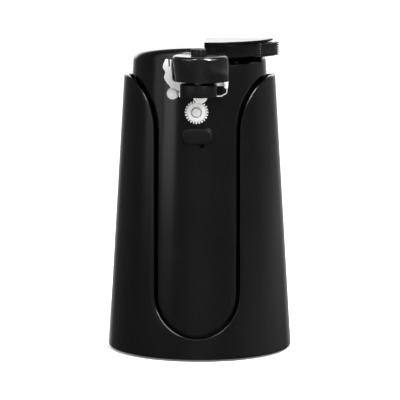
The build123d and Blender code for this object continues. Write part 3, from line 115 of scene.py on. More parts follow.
def combine(tree, operation, *values, clamp=False):
    """Output of a Math node."""
    node = add_node(tree, "ShaderNodeMath", dict(enumerate(values)), operation=operation, use_clamp=clamp)
    return node.outputs[0]


def ramp(tree, value, first, last, at_first=0.0, at_last=1.0, kind="LINEAR"):
    """Output that goes from at_first to at_last while a value goes from first to last."""
    return add_node(tree, "ShaderNodeMapRange", {
        "Value": value, "From Min": first, "From Max": last, "To Min": at_first, "To Max": at_last,
    }, interpolation_type=kind).outputs[0]


# What the glossy pieces mirror: white behind, dim in front and at the sides, a pale table edge at the right
room = bpy.data.worlds.new("studio_room")
room.use_nodes = True
tree = room.node_tree
tree.nodes.clear()
white = (1.0, 1.0, 1.0, 1.0)
direction = add_node(tree, "ShaderNodeTexCoord").outputs["Generated"]
x, y, z = add_node(tree, "ShaderNodeSeparateXYZ", {0: direction}).outputs
behind = ramp(tree, y, 0.72, 0.95, 0.1, 2.3, "SMOOTHSTEP")
above = ramp(tree, z, -0.03, 0.06, 0.25, 1.0)
front = ramp(tree, combine(tree, "ABSOLUTE", x), 0.1, 0.6, 0.26, 0.12)
below = ramp(tree, z, -0.11, -0.075, 1.0, 0.0, "SMOOTHSTEP")
right_side = ramp(tree, x, 0.35, 1.0, 0.0, 0.9)
table_band = ramp(tree, z, -0.16, -0.12, 0.1, 1.0, "SMOOTHSTEP")
far_side = combine(tree, "MULTIPLY", behind, above)
table_glow = combine(tree, "MULTIPLY", combine(tree, "MULTIPLY", below, right_side), table_band)
brightness = combine(tree, "MAXIMUM", combine(tree, "MAXIMUM", far_side, front), table_glow)
either = add_node(tree, "ShaderNodeMixShader", {
    0: add_node(tree, "ShaderNodeLightPath").outputs["Is Glossy Ray"],
    1: add_node(tree, "ShaderNodeBackground", {"Color": white, "Strength": 1.0}).outputs[0],
    2: add_node(tree, "ShaderNodeBackground", {"Color": white, "Strength": brightness}).outputs[0],
})
add_node(tree, "ShaderNodeOutputWorld", {"Surface": either.outputs[0]})
scene.world = room

table_half = 8.0
table_mesh = bpy.data.meshes.new("table_top")
table_corners = [(x * table_half, y * table_half, 0) for x, y in ((-1, -1), (1, -1), (1, 1), (-1, 1))]
table_mesh.from_pydata(table_corners, [], [(0, 1, 2, 3)])
table_paint = bpy.data.materials.new("table_paint")
table_paint.use_nodes = True
fill(table_paint.node_tree.nodes["Principled BSDF"], {
    "Base Color": (0.93, 0.93, 0.93, 1), "Roughness": 0.6, "Emission Color": white, "Emission Strength": 0.15,
})
table_mesh.materials.append(table_paint)
table_top = into_scene("table_top", table_mesh)
table_top.visible_glossy = False

# ---------- Outer sleeve ----------
# The outer shell: one glossy black moulding, oval and tapered, with a tall U cut out of its front.
# Its upper rim turns in to a lip round the tower; slots for air and the cord inlet are at the back.
mm = 0.001
sleeve_low, sleeve_high = (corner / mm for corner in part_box("outer_sleeve"))
foot_z, rim_z = sleeve_low.z, sleeve_high.z
foot_half_width, foot_half_depth = sleeve_high.x, sleeve_high.y
rim_half_width, rim_half_depth = 53.0, 48.2
sleeve_wall, lip_thickness, lip_gap = 2.5, 2.0, 0.6
ledge = 6.0
groove_half_width, groove_arc_z = 29.5, 45.8
flare_start_z, flare_centre_x, flare_rise = 158.0, 58.0, 38.6
sleeve_edge_radius, rim_edge_radius = 1.3, 0.9
arc_steps, straight_steps, flare_steps = 22, 40, 26
edge_steps, around_steps = 5, 110


def half_width(z):
    return foot_half_width + (rim_half_width - foot_half_width) * (z - foot_z) / (rim_z - foot_z)


def half_depth(z):
    return foot_half_depth + (rim_half_depth - foot_half_depth) * (z - foot_z) / (rim_z - foot_z)


def sleeve_skin(angle, z, depth):
    """Point on the sleeve, a given depth below its outer face."""
    return ((half_width(z) - depth) * cos(angle), (half_depth(z) - depth) * sin(angle), z)


def tower_skin(angle, z, depth):
    """The same on the tower, which is set back from the sleeve except at the very front."""
    across = half_width(z) - ledge - depth
    along = half_depth(z) - ledge / 2 - depth
    return (across * cos(angle), -ledge / 2 + along * sin(angle), z)


def angle_at(x, z, inset):
    """Angle of the front point at x on an oval that lies within the sleeve's outer face."""
    return asin(max(-1.0, min(1.0, x / (half_width(z) - inset)))) - pi / 2


def arc(centre, radius, first, last, steps):
    """Points on an arc from one angle to another; an oval one has a pair of radii."""
    across, along = radius if hasattr(radius, "__len__") else (radius, radius)
    turns = [first + (last - first) * step / steps for step in range(steps + 1)]
    return [(centre[0] + across * cos(turn), centre[1] + along * sin(turn)) for turn in turns]


def round_over(radius, steps):
    """Steps over a rounded edge, from the side to the top, as (inset from the side, drop from the top)."""
    return [(radius - across, radius - up) for across, up in arc((0, 0), radius, 0, pi / 2, steps)]


def groove_line(inwards):
    """Right half of a line round the groove, from its lowest point up, as (x, z).

    inwards is measured from the sleeve's edge towards the tongue.
    """
    half, rise = groove_half_width - inwards, flare_rise + inwards
    straight = flare_start_z - groove_arc_z
    low = arc((0, groove_arc_z), half, -pi / 2, 0, arc_steps)[:-1]
    side = [(half, groove_arc_z + straight * step / straight_steps) for step in range(straight_steps)]
    flare_turn = asin(min(1.0, (rim_z - flare_start_z) / rise))
    flare = arc((flare_centre_x, flare_start_z), (half - flare_centre_x, rise), 0, flare_turn, flare_steps)
    return low + side + flare


def shade(mesh, angle):
    """Smooth shading, broken where faces meet at more than an angle in degrees."""
    mesh.shade_smooth()
    mesh.set_sharp_from_angle(angle=radians(angle))


def mesh_piece(name, points, faces, smooth_angle=35):
    """A new object from points in millimetres; doubles are merged and faces turned outwards."""
    same_point, thinnest_face = 0.004, 0.002
    mesh = bpy.data.meshes.new(name)
    mesh.from_pydata([(x * mm, y * mm, z * mm) for x, y, z in points], [], faces)
    work = bmesh.new()
    work.from_mesh(mesh)
    bmesh.ops.remove_doubles(work, verts=work.verts, dist=same_point * mm)
    bmesh.ops.dissolve_degenerate(work, dist=thinnest_face * mm, edges=work.edges)
    bmesh.ops.recalc_face_normals(work, faces=work.faces)
    work.to_mesh(mesh)
    work.free()
    shade(mesh, smooth_angle)
    return into_scene(name, mesh)


class Weave:
    """Points and faces of one piece while it is put together from rows."""

    def __init__(self):
        self.points, self.faces = [], []

    def row(self, points):
        start = len(self.points)
        self.points.extend(points)
        return list(range(start, len(self.points)))

    def sheet(self, rows, closed=False):
        """Quads between rows of equal length, from each row to the next."""
        for lower, upper in zip(rows, rows[1:]):
            for index in range(len(lower) if closed else len(lower) - 1):
                after = (index + 1) % len(lower)
                self.faces.append((lower[index], lower[after], upper[after], upper[index]))


def rim_drop(z):
    """Depth that rounds the sleeve's upper and lower outer edge."""
    near = max(0, min(rim_edge_radius, rim_z - z, z - foot_z))
    return rim_edge_radius - sqrt(rim_edge_radius ** 2 - (rim_edge_radius - near) ** 2)


def round_back(skin, start, z, depth):
    """A row from the groove's right edge round the back to its left edge; -pi / 2 starts a full ring."""
    sweep = pi - 2 * start
    return [skin(start + sweep * step / around_steps, z, depth) for step in range(around_steps + 1)]


sleeve_weave = Weave()
edge_lines = [(groove_line(-drop), inset) for inset, drop in round_over(sleeve_edge_radius, edge_steps)]
edge_lines.append((groove_line(0), sleeve_wall))
outer_rows, inner_rows = [], []
for index, (outer_x, outer_z) in enumerate(edge_lines[0][0]):
    right, left = [], []
    for line, depth in reversed(edge_lines):
        x, z = line[index]
        total = max(depth, rim_drop(z))
        angle = angle_at(x, z, total)
        right.append(sleeve_skin(angle, z, total))
        left.append(sleeve_skin(pi - angle, z, total))
    drop = rim_drop(outer_z)
    middle = round_back(sleeve_skin, angle_at(outer_x, outer_z, drop), outer_z, drop)[1:-1]
    outer_rows.append(sleeve_weave.row(right + middle + left[::-1]))
    x, z = edge_lines[-1][0][index]
    z = min(z, rim_z - lip_thickness)
    inner_rows.append(sleeve_weave.row(round_back(sleeve_skin, angle_at(x, z, sleeve_wall), z, sleeve_wall)))
sleeve_weave.sheet(outer_rows)
sleeve_weave.sheet([row[::-1] for row in inner_rows])

# Below the groove the sleeve is a closed ring
outer_low_z, inner_low_z = (edge_lines[end][0][0][1] for end in (0, -1))
ring_levels = [foot_z + (outer_low_z - foot_z) * share for share in (1, 0.8, 0.55, 0.3, 0.12)]
ring_levels += [foot_z + rim_edge_radius * share for share in (1, 0.6, 0.3, 0.1, 0)]
outer_rings = [sleeve_weave.row(round_back(sleeve_skin, -pi / 2, z, rim_drop(z))) for z in ring_levels]
inner_levels = (inner_low_z, foot_z)
inner_rings = [sleeve_weave.row(round_back(sleeve_skin, -pi / 2, z, sleeve_wall)) for z in inner_levels]
sleeve_weave.sheet(outer_rings + [inner_rings[-1]])
sleeve_weave.sheet([row[::-1] for row in inner_rings])

# The lip at the rim reaches in to the tower
lip_start = angle_at(*edge_lines[0][0][-1], rim_edge_radius)
lip_levels = (rim_z, rim_z - lip_thickness)
lip_rows = [sleeve_weave.row(round_back(tower_skin, lip_start, z, lip_gap)) for z in lip_levels]
rim_row, edge_count = outer_rows[-1], len(edge_lines)
sleeve_weave.sheet([rim_row[edge_count - 1:1 - edge_count], *lip_rows, inner_rows[-1]])
for side, end in ((0, rim_row[:edge_count]), (-1, rim_row[::-1][:edge_count])):
    sleeve_weave.faces.append((*end, lip_rows[0][side], lip_rows[1][side]))
sleeve_shell = mesh_piece("sleeve_shell", sleeve_weave.points, sleeve_weave.faces)


def result_mesh(piece):
    """A plain mesh of what a piece's modifiers or its curve make."""
    bpy.context.view_layer.update()
    return bpy.data.meshes.new_from_object(piece.evaluated_get(bpy.context.evaluated_depsgraph_get()))


def apply_modifiers(piece):
    """Puts the result of a piece's modifiers in its mesh."""
    done = result_mesh(piece)
    piece.modifiers.clear()
    piece.data = done


def node_group(name, kind, inputs, outputs):
    """An empty node group with named sockets and their kinds."""
    group = bpy.data.node_groups.new(name, kind)
    for side, sockets in (("INPUT", inputs), ("OUTPUT", outputs)):
        for title, socket_kind in sockets.items():
            group.interface.new_socket(title, in_out=side, socket_type="NodeSocket" + socket_kind)
    return group


def repeat_tree():
    """Node group that repeats a piece: copy number n is moved by n steps and turned by n turns."""
    tree = node_group("repeat_piece", "GeometryNodeTree", {
        "Piece": "Object", "Count": "Int", "Start": "Vector", "Step": "Vector", "Turn": "Vector",
        "Finish": "Material",
    }, {"Geometry": "Geometry"})
    given = add_node(tree, "NodeGroupInput").outputs
    line = add_node(tree, "GeometryNodeMeshLine", {
        "Count": given["Count"], "Start Location": given["Start"], "Offset": given["Step"],
    }, mode="OFFSET")
    number = add_node(tree, "GeometryNodeInputIndex")
    turn = add_node(tree, "ShaderNodeVectorMath", {
        0: given["Turn"], "Scale": number.outputs[0],
    }, operation="SCALE")
    source = add_node(tree, "GeometryNodeObjectInfo", {"Object": given["Piece"]})
    spread = add_node(tree, "GeometryNodeInstanceOnPoints", {
        "Points": line.outputs[0], "Instance": source.outputs["Geometry"], "Rotation": turn.outputs[0],
    })
    real = add_node(tree, "GeometryNodeRealizeInstances", {0: spread.outputs[0]})
    paint = add_node(tree, "GeometryNodeSetMaterial", {
        "Geometry": real.outputs[0], "Material": given["Finish"],
    })
    add_node(tree, "NodeGroupOutput", {0: paint.outputs[0]})
    return tree


repeats = repeat_tree()


def repeated(name, source, count, start=(0, 0, 0), step=(0, 0, 0), turn=(0, 0, 0), material=None):
    """Runs the repeating node group on a piece (millimetres, radians) and returns a plain mesh object."""
    holder = into_scene(name, bpy.data.meshes.new(name))
    modifier = holder.modifiers.new("repeat", "NODES")
    modifier.node_group = repeats
    values = {
        "Piece": source, "Count": count, "Start": [v * mm for v in start], "Step": [v * mm for v in step],
        "Turn": list(turn), "Finish": material,
    }
    for socket in repeats.interface.items_tree:
        if socket.in_out == "INPUT" and values[socket.name] is not None:
            modifier[socket.identifier] = values[socket.name]
    apply_modifiers(holder)
    bpy.data.objects.remove(source)
    return holder


def stacked(name, rings, smooth_angle=35, ends=(True, True)):
    """A closed piece from rings of points, each joined to the next, with a flat face at the ends."""
    weave = Weave()
    rows = [weave.row(ring) for ring in rings]
    weave.sheet(rows, closed=True)
    weave.faces += [tuple(row) for row, flat in zip((rows[0], rows[-1][::-1]), ends) if flat]
    return mesh_piece(name, weave.points, weave.faces, smooth_angle)


def turned(name, profile, centre, axis="y", steps=72, smooth_angle=32):
    """A lathe piece: profile is (radius, place along the axis); the axis goes through (x, z), or (x, y)."""
    rings = []
    for radius, along in profile:
        ring = arc(centre, radius, 0, 2 * pi, steps)[:-1]
        rings.append([(x, along, other) if axis == "y" else (x, other, along) for x, other in ring])
    ends = [radius > 0 and profile[0] != profile[-1] for radius in (profile[0][0], profile[-1][0])]
    return stacked(name, rings, smooth_angle, ends)


def rod(name, radius, start, end, centre, axis="y", steps=72):
    """A plain round bar, to cut a hole with."""
    return turned(name, [(0, start), (radius, start), (radius, end), (0, end)], centre, axis, steps)


def pill_outline(centre, reach, radius, steps, upright=False):
    """Outline of a slot with round ends, as (x, z); reach is from its centre to that of an end."""
    outline = []
    for side in (1, -1):
        end = (centre[0], centre[1] + side * reach) if upright else (centre[0] + side * reach, centre[1])
        first = (0 if upright else -pi / 2) + (0 if side > 0 else pi)
        outline += arc(end, radius, first, first + pi, steps)
    return outline


def bar(name, outline, start_y, end_y):
    """A straight bar along y from its outline in (x, z)."""
    return stacked(name, [[(x, y, z) for x, z in outline] for y in (start_y, end_y)])


def cut_out(piece, cutters):
    """Subtracts pieces from a piece and removes them."""
    for cutter in cutters:
        cut = piece.modifiers.new("cut", "BOOLEAN")
        cut.operation, cut.solver, cut.object = "DIFFERENCE", "EXACT", cutter
    apply_modifiers(piece)
    for cutter in cutters:
        bpy.data.objects.remove(cutter)


# Seven air slots in a row and the round hole for the cord inlet, all through the back wall
vent_count, vent_pitch, vent_half_width, vent_reach, vent_z = 7, 6.0, 1.2, 11.8, 117.96
inlet_place, inlet_radius = (0, 22.0), 5.55
cut_start_y, cut_end_y = 40.0, 65.0
vent_shape = pill_outline((0, 0), vent_reach, vent_half_width, 8, upright=True)
vent_cutters = repeated(
    "vent_cutters", bar("vent_cutter", vent_shape, cut_start_y, cut_end_y), vent_count,
    start=(-vent_pitch * (vent_count - 1) / 2, 0, vent_z), step=(vent_pitch, 0, 0),
)
cut_out(sleeve_shell, [vent_cutters, rod("inlet_cutter", inlet_radius, cut_start_y, cut_end_y, inlet_place)])


def wear_group():
    """Node group for handling wear: tints, roughens and dents a surface unevenly, and pales its edges."""
    group = node_group("handled_surface", "ShaderNodeTree", {
        "Colour": "Color", "Worn Colour": "Color", "Roughness": "Float", "Roughness Spread": "Float",
        "Grain": "Float", "Bump": "Float", "Edge Wear": "Float", "Blotches": "Float", "Stretch": "Vector",
    }, {"Colour": "Color", "Roughness": "Float", "Normal": "Vector"})
    given = add_node(group, "NodeGroupInput").outputs
    place = add_node(group, "ShaderNodeTexCoord").outputs["Object"]
    stretched = add_node(group, "ShaderNodeVectorMath", {0: place, 1: given["Stretch"]}, operation="MULTIPLY")
    grain = add_node(group, "ShaderNodeTexNoise", {
        "Vector": stretched.outputs[0], "Scale": given["Grain"], "Detail": 4.0,
    }).outputs["Fac"]
    blotch = add_node(group, "ShaderNodeTexNoise", {
        "Vector": place, "Scale": 28.0, "Detail": 6.0, "Roughness": 0.6,
    }).outputs["Fac"]
    corner = add_node(group, "ShaderNodeNewGeometry").outputs["Pointiness"]
    at_edges = combine(group, "MULTIPLY", ramp(group, corner, 0.52, 0.62), given["Edge Wear"])
    in_patches = combine(group, "MULTIPLY", ramp(group, blotch, 0.42, 0.72), given["Blotches"])
    tint = add_node(group, "ShaderNodeMix", {
        "Factor": combine(group, "ADD", at_edges, in_patches, clamp=True),
        "A": given["Colour"], "B": given["Worn Colour"],
    }, data_type="RGBA")
    swing = combine(group, "SUBTRACT", combine(group, "ADD", grain, in_patches), 0.5)
    dent = add_node(group, "ShaderNodeBump", {"Distance": 0.0002, "Strength": given["Bump"], "Height": grain})
    add_node(group, "NodeGroupOutput", {
        "Colour": tint.outputs["Result"], "Normal": dent.outputs[0],
        "Roughness": combine(
            group, "MULTIPLY_ADD", swing, given["Roughness Spread"], given["Roughness"], clamp=True,
        ),
    })
    return group


handled_surface = wear_group()


def finish(name, colour, worn, roughness, spread, grain, bump, edge_wear=0.3, blotches=0.2, stretch=(1, 1, 1),
           metallic=0.0, level=0.5):
    """A material whose colour, roughness and bump come from the handling-wear group."""
    made = bpy.data.materials.new(name)
    made.use_nodes = True
    wear = add_node(made.node_tree, "ShaderNodeGroup", {
        "Colour": (*colour, 1), "Worn Colour": (*worn, 1), "Roughness": roughness, "Roughness Spread": spread,
        "Grain": grain, "Stretch": stretch, "Bump": bump, "Edge Wear": edge_wear, "Blotches": blotches,
    }, node_tree=handled_surface).outputs
    fill(made.node_tree.nodes["Principled BSDF"], {
        "Metallic": metallic, "Specular IOR Level": level,
        "Base Color": wear["Colour"], "Roughness": wear["Roughness"], "Normal": wear["Normal"],
    })
    return made


def dress(material, *names):
    """Gives parts of the plain model their material."""
    for name in names:
        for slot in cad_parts[name].material_slots:
            slot.material = material


def put(piece, material, part, replaced):
    """Gives a finished piece its material and its place in the assembly."""
    piece.data.materials.clear()
    piece.data.materials.append(material)
    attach(piece, part)
    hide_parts(replaced)
    dress(material, replaced)


deep_black, rubbed_black = (0.0008, 0.0008, 0.0009), (0.003, 0.003, 0.0033)
gloss_black = finish("gloss_black", deep_black, rubbed_black, 0.2, 0.07, 900, 0.02, 0.25, 0.25, level=0.4)
put(sleeve_shell, gloss_black, "case", "outer_sleeve")

# ---------- Front cover ----------
# One glossy black moulding: the long tongue in the sleeve's cut-out and the front half of the tower.
# It carries the gear case inside; its domed top has a deep pocket for the lever.
tongue_gap, tongue_edge_radius = 1.9, 1.8
channel_depth, flange_depth = 5.0, 2.8
cover_wall = 2.2
crown_top, crown_centre_y = 216.2, -40.0
crown_across, crown_along, crown_edge_radius = 190.0, 450.0, 5.0
wall_levels = [0, 0.15, 0.35, 0.55, 0.75, 0.9, 1]
tongue_across, side_steps, cap_steps, corner_steps, height_tries = 30, 12, 26, 8, 4


def crown_height(x, y):
    """Height of the domed top, which bends more from side to side than from front to back."""
    across = crown_along - crown_across + sqrt(crown_across ** 2 - x ** 2)
    return crown_top - crown_along + sqrt(across ** 2 - (y - crown_centre_y) ** 2)


def tower_column(angle, joint_y):
    """Points up the tower's wall, over its rounded edge and across the crown to the joint."""
    top = tower_skin(angle, rim_z, 0)
    for _ in range(height_tries):
        top = tower_skin(angle, crown_height(*top[:2]) - crown_edge_radius, 0)
    column = [tower_skin(angle, rim_z + (top[2] - rim_z) * share, 0) for share in wall_levels]
    for inset, drop in round_over(crown_edge_radius, corner_steps)[1:]:
        x, y, _ = tower_skin(angle, top[2], inset)
        column.append((x, y, crown_height(x, y) - drop))
    x, start_y, _ = column[-1]
    for step in range(1, cap_steps + 1):
        y = start_y + (joint_y - start_y) * step / cap_steps
        column.append((x, y, crown_height(x, y)))
    return column


# The tongue, from its top edge down the channel to the flange behind the sleeve's edge
tongue_edge = round_over(tongue_edge_radius, edge_steps)
tongue_lines = [(groove_line(tongue_gap + drop), inset) for inset, drop in tongue_edge]
tongue_lines += [(groove_line(inwards), channel_depth) for inwards in (tongue_gap, 0.9, 0.1)]
tongue_lines += [(groove_line(inwards), flange_depth) for inwards in (0.0, -2.0, -5.5)]


def tongue_point(x, z, depth, side):
    """Point of the tongue at the right (side 1) or the left (-1), just short of the tower's widest place."""
    widest = (half_width(z) - ledge - depth) * 0.995
    angle = angle_at(min(x, widest), z, ledge + depth)
    return tower_skin(angle if side > 0 else pi - angle, z, depth)


cover_weave = Weave()
tongue_rows = []
for index, (x, z) in enumerate(tongue_lines[0][0]):
    right = [tongue_point(*line[index], depth, 1) for line, depth in reversed(tongue_lines)]
    left = [tongue_point(*line[index], depth, -1) for line, depth in tongue_lines]
    start = angle_at(x, z, ledge)
    turns = [start - (pi + 2 * start) * step / tongue_across for step in range(1, tongue_across)]
    tongue_rows.append(cover_weave.row(right + [tower_skin(turn, z, 0) for turn in turns] + left))
cover_weave.sheet(tongue_rows)
tongue_part = mesh_piece("tongue_part", cover_weave.points, cover_weave.faces)

# The tower's front half, as a closed block that the lever pocket is cut from
top_angle = angle_at(*tongue_lines[0][0][-1], ledge)
split_angle = asin(ledge / 2 / (rim_half_depth - ledge / 2))
side_angles = [split_angle + (top_angle - split_angle) * step / side_steps for step in range(side_steps)]
front_angles = side_angles + [
    top_angle - (pi + 2 * top_angle) * step / tongue_across for step in range(tongue_across + 1)
] + [-pi - angle for angle in reversed(side_angles)]


def tower_block(name, angles, joint_y):
    """Half of the tower above the sleeve's rim, closed by a flat bottom and a flat face at the joint."""
    block = Weave()
    block_columns = [tower_column(angle, joint_y) for angle in angles]
    for end in (0, -1):
        block_columns[end] = [(x, joint_y, z) for x, y, z in block_columns[end]]
    rows = [block.row(level) for level in zip(*block_columns)]
    block.sheet(rows)
    first_side, last_side = ([row[end] for row in rows[:-cap_steps]] for end in (0, -1))
    block.faces += [tuple(rows[0][::-1]), tuple(first_side + rows[-1][1:-1] + last_side[::-1])]
    return mesh_piece(name, block.points, block.faces)


def keep_outside(piece, joint_y):
    """Removes the block's joint face and bottom, so that the wall can get its thickness."""
    same_plane = 1e-6
    work = bmesh.new()
    work.from_mesh(piece.data)
    unwanted = [face for face in work.faces if any(
        all(abs(corner.co[axis] - place * mm) < same_plane for corner in face.verts)
        for axis, place in ((1, joint_y), (2, rim_z))
    )]
    bmesh.ops.delete(work, geom=unwanted, context="FACES")
    work.to_mesh(piece.data)
    work.free()


# The lever pocket: its left end is an arc round the lever's pivot; it is open at the front and the right
pivot = (-16.5, 185.7)
pocket_radius, pocket_floor_z, pocket_back_y = 43.2, 204.5, -8.0
pocket_rim, pocket_top_z = (43.2, 208.5), crown_top + 2.4
clear_z, clear_y = crown_top + 20, -foot_half_depth - 10
arc_high = asin((pocket_top_z - pivot[1]) / pocket_radius)
arc_low = asin((pocket_floor_z - pivot[1]) / pocket_radius)
pocket_outline = arc(pivot, pocket_radius, arc_high, arc_low, 24)
pocket_outline += [
    (pocket_rim[0], pocket_floor_z), pocket_rim, (foot_half_width, pocket_rim[1]),
    (foot_half_width, clear_z), (pocket_outline[0][0], clear_z),
]
pocket_cutter = bar("pocket_cutter", pocket_outline, clear_y, pocket_back_y)
cover_shell = tower_block("cover_shell", front_angles, 0.0)
cut_out(cover_shell, [pocket_cutter])
keep_outside(cover_shell, 0.0)

# Tongue and tower become one skin, and the pocket's rim gets a small bevel
rim_bevel, sharp_rim, near_pocket, seam_gap = 0.35, radians(38), 0.1, 0.02
work = bmesh.new()
for part in (cover_shell, tongue_part):
    work.from_mesh(part.data)
bpy.data.objects.remove(tongue_part)
bmesh.ops.remove_doubles(work, verts=work.verts, dist=seam_gap * mm)
bmesh.ops.recalc_face_normals(work, faces=work.faces)
rim_edges = []
for edge in work.edges:
    lowest_z, last_y = min(end.co.z for end in edge.verts), max(end.co.y for end in edge.verts)
    inside = lowest_z > (pocket_floor_z - near_pocket) * mm and last_y < (pocket_back_y + near_pocket) * mm
    if inside and len(edge.link_faces) == 2 and edge.calc_face_angle() >= sharp_rim:
        rim_edges.append(edge)
bmesh.ops.bevel(
    work, geom=rim_edges, offset=rim_bevel * mm, segments=2, profile=0.5, affect="EDGES", clamp_overlap=True,
)
work.to_mesh(cover_shell.data)
work.free()


def give_wall(piece):
    """Gives a moulded skin its wall thickness, inwards, and pulls back what would come out of the skin."""
    skin_limit, pulled_to, crown_limit, under_crown = 1.002, 0.996, 0.02, 0.2
    wall = piece.modifiers.new("wall", "SOLIDIFY")
    wall.thickness = cover_wall * mm
    wall.offset = -1
    wall.use_even_offset = False
    apply_modifiers(piece)
    for vertex in piece.data.vertices:
        x, y, z = (value / mm for value in vertex.co)
        if z < rim_z + 1:
            continue
        across, along, from_middle = half_width(z) - ledge, half_depth(z) - ledge / 2, y + ledge / 2
        beyond = (x / across) ** 2 + (from_middle / along) ** 2
        if beyond > skin_limit:
            back = sqrt(pulled_to / beyond)
            x, y = x * back, from_middle * back - ledge / 2
        if z > crown_height(x, y) + crown_limit:
            z = crown_height(x, y) - under_crown
        vertex.co = (x * mm, y * mm, z * mm)
    shade(piece.data, 35)


give_wall(cover_shell)

# Holes for the pivot pin, the drive shaft's bush and the switch plunger
drive_centre, switch_place = (0.0, 173.4), (26.0, -22.0)
pin_hole_radius, bush_hole_radius, plunger_hole_radius = 2.55, 4.6, 2.3
tongue_front, tongue_back = -60.0, -30.0
cut_out(cover_shell, [
    rod("pin_hole", pin_hole_radius, tongue_front, tongue_back, pivot, steps=40),
    rod("bush_hole", bush_hole_radius, tongue_front, tongue_back, drive_centre, steps=56),
    rod("plunger_hole", plunger_hole_radius, 195.0, 207.0, switch_place, "z", 40),
])
cover_black = finish("cover_black", deep_black, rubbed_black, 0.19, 0.07, 900, 0.02, 0.25, 0.25, level=0.4)
put(cover_shell, cover_black, "case", "front_cover")

# ---------- Rear cover ----------
# The back half of the tower top, moulded in the same black plastic as the front cover.
# It clips under the sleeve's lip with a hook inside and meets the front cover in one straight joint.
joint_gap = 0.12
back_angles = [split_angle + (pi - 2 * split_angle) * step / 60 for step in range(61)]
rear_shell = tower_block("rear_shell", back_angles, joint_gap)
keep_outside(rear_shell, joint_gap)
give_wall(rear_shell)
put(rear_shell, cover_black, "case", "rear_cover")

# ---------- Can rest ----------
# A pill-shaped bump of dull black plastic under the drive wheel; the can's side leans on it.
# It is moulded on its own and pressed against the tongue, so its edge is well rounded.
rest_centre, rest_long, rest_high = (0.5, 156.9), 22.0, 11.5
rest_back_y, rest_front_y = -48.6, -56.5
rest_edge_radius, rest_bulge, bulge_drop = 2.0, 0.25, 0.5
lug_place, lug_radius, lug_back_y, lug_front_y = (3.6, 150.0), 1.7, -49.0, -52.2
rest_levels = [(0.0, rest_back_y), (0.0, rest_front_y + rest_edge_radius + 1)]
for inset, drop in round_over(rest_edge_radius, 8):
    rest_levels.append((inset, rest_front_y + drop + (rest_bulge if drop < bulge_drop else 0)))
for share in (0.35, 0.7, 0.97):
    inset = rest_edge_radius + (rest_high / 2 - rest_edge_radius) * share
    rest_levels.append((inset, rest_front_y + rest_bulge * (1 - sin(share * pi / 2))))
rest_reach = (rest_long - rest_high) / 2
rest_pad = stacked("rest_pad", [
    [(x, y, z) for x, z in pill_outline(rest_centre, rest_reach, rest_high / 2 - inset, 16)]
    for inset, y in rest_levels
], 50)
rest_lug = turned("rest_lug", [
    (0, lug_back_y), (lug_radius, lug_back_y), (lug_radius, lug_front_y + 0.2), (lug_radius - 0.2, lug_front_y),
    (0, lug_front_y),
], lug_place, steps=24)
soft_black, pale_black = (0.001, 0.001, 0.0011), (0.004, 0.004, 0.0044)
# The lug's finish is near-black with no reflection at all: painted shadow, so the lug reads as a dark shaded
# notch below the pad
shadow_painted_lug_black = finish("shadow_painted_lug_black", deep_black, (0.002, 0.002, 0.0022), 0.6, 0.1, 1600, 0.1, 0.3, 0.3, level=0.0)
dull_black = finish("dull_black", soft_black, pale_black, 0.4, 0.12, 1600, 0.12, 0.3, 0.3, level=0.25)
put(rest_lug, shadow_painted_lug_black, "case", "can_rest")
put(rest_pad, dull_black, "case", "can_rest")

# ---------- Drive wheel and the end of its shaft ----------
# A hardened steel wheel with 24 sharp teeth that grip the can's rim and turn the can.
# It is pressed on the shaft, whose riveted end sits in a turned recess.
drive_back_y, drive_front_y = -52.7, -55.6
tooth_count, tooth_tip, tooth_root, tooth_foot = 24, 8.05, 6.8, 6.2
hub_radius, recess_radius, recess_depth = 2.55, 3.55, 1.3
shaft_end_radius, shaft_end_y = 2.9, -56.5


def join_pieces(piece, others):
    """Adds other pieces' meshes to a piece's own."""
    work = bmesh.new()
    work.from_mesh(piece.data)
    for other in others:
        work.from_mesh(other.data)
        bpy.data.objects.remove(other)
    work.to_mesh(piece.data)
    work.free()
    shade(piece.data, 32)


def rounded_end(radius, edge, end, inwards):
    """Profile points of a rounded rim: edge is its radius, inwards the sign of the way back along the axis."""
    return [(radius - inset, end + inwards * drop) for inset, drop in round_over(edge, 4)]


def plate_piece(name, outline, back_y, front_y, edge, holes=(), steps=3, axis="y"):
    """A flat piece with rounded edges: outline in (x, z), or (x, y) for axis "z"; holes are (x, z, radius)."""
    curve = bpy.data.curves.new(name, "CURVE")
    curve.dimensions, curve.fill_mode = "2D", "BOTH"
    curve.extrude = (abs(front_y - back_y) / 2 - edge) * mm
    curve.bevel_depth, curve.bevel_resolution, curve.offset = edge * mm, steps - 1, -edge * mm
    for loop in [outline] + [arc((x, z), radius, 0, 2 * pi, 40)[:-1] for x, z, radius in holes]:
        spline = curve.splines.new("POLY")
        spline.points.add(len(loop) - 1)
        for place, point in zip(loop, spline.points):
            point.co = (place[0] * mm, place[1] * mm, 0, 1)
        spline.use_cyclic_u = True
    shape = into_scene(name, curve)
    flat = result_mesh(shape)
    middle = (back_y + front_y) / 2
    points = []
    for vertex in flat.vertices:
        first, second, deep = (value / mm for value in vertex.co)
        points.append((first, middle - deep, second) if axis == "y" else (first, second, middle + deep))
    bpy.data.objects.remove(shape)
    return mesh_piece(name, points, [tuple(face.vertices) for face in flat.polygons], 32)


def rounded(points, radii, steps=5):
    """A closed outline with its corners rounded; radii is one number or one for each corner."""
    folded, straight, side_share = radians(2), radians(88), 0.49
    count = len(points)
    if not hasattr(radii, "__len__"):
        radii = [radii] * count
    result = []
    for index, radius in enumerate(radii):
        here = Vector(points[index])
        before = Vector(points[index - 1]) - here
        after = Vector(points[(index + 1) % count]) - here
        half = before.angle(after) / 2 if before.length and after.length else 0
        if radius == 0 or not folded <= half <= straight:
            result.append(tuple(here))
            continue
        back = min(radius / (sin(half) / cos(half)), before.length * side_share, after.length * side_share)
        start, end = here + before.normalized() * back, here + after.normalized() * back
        for step in range(steps + 1):
            share = step / steps
            bent = (1 - share) ** 2 * start + 2 * share * (1 - share) * here + share ** 2 * end
            result.append(tuple(bent))
    return result


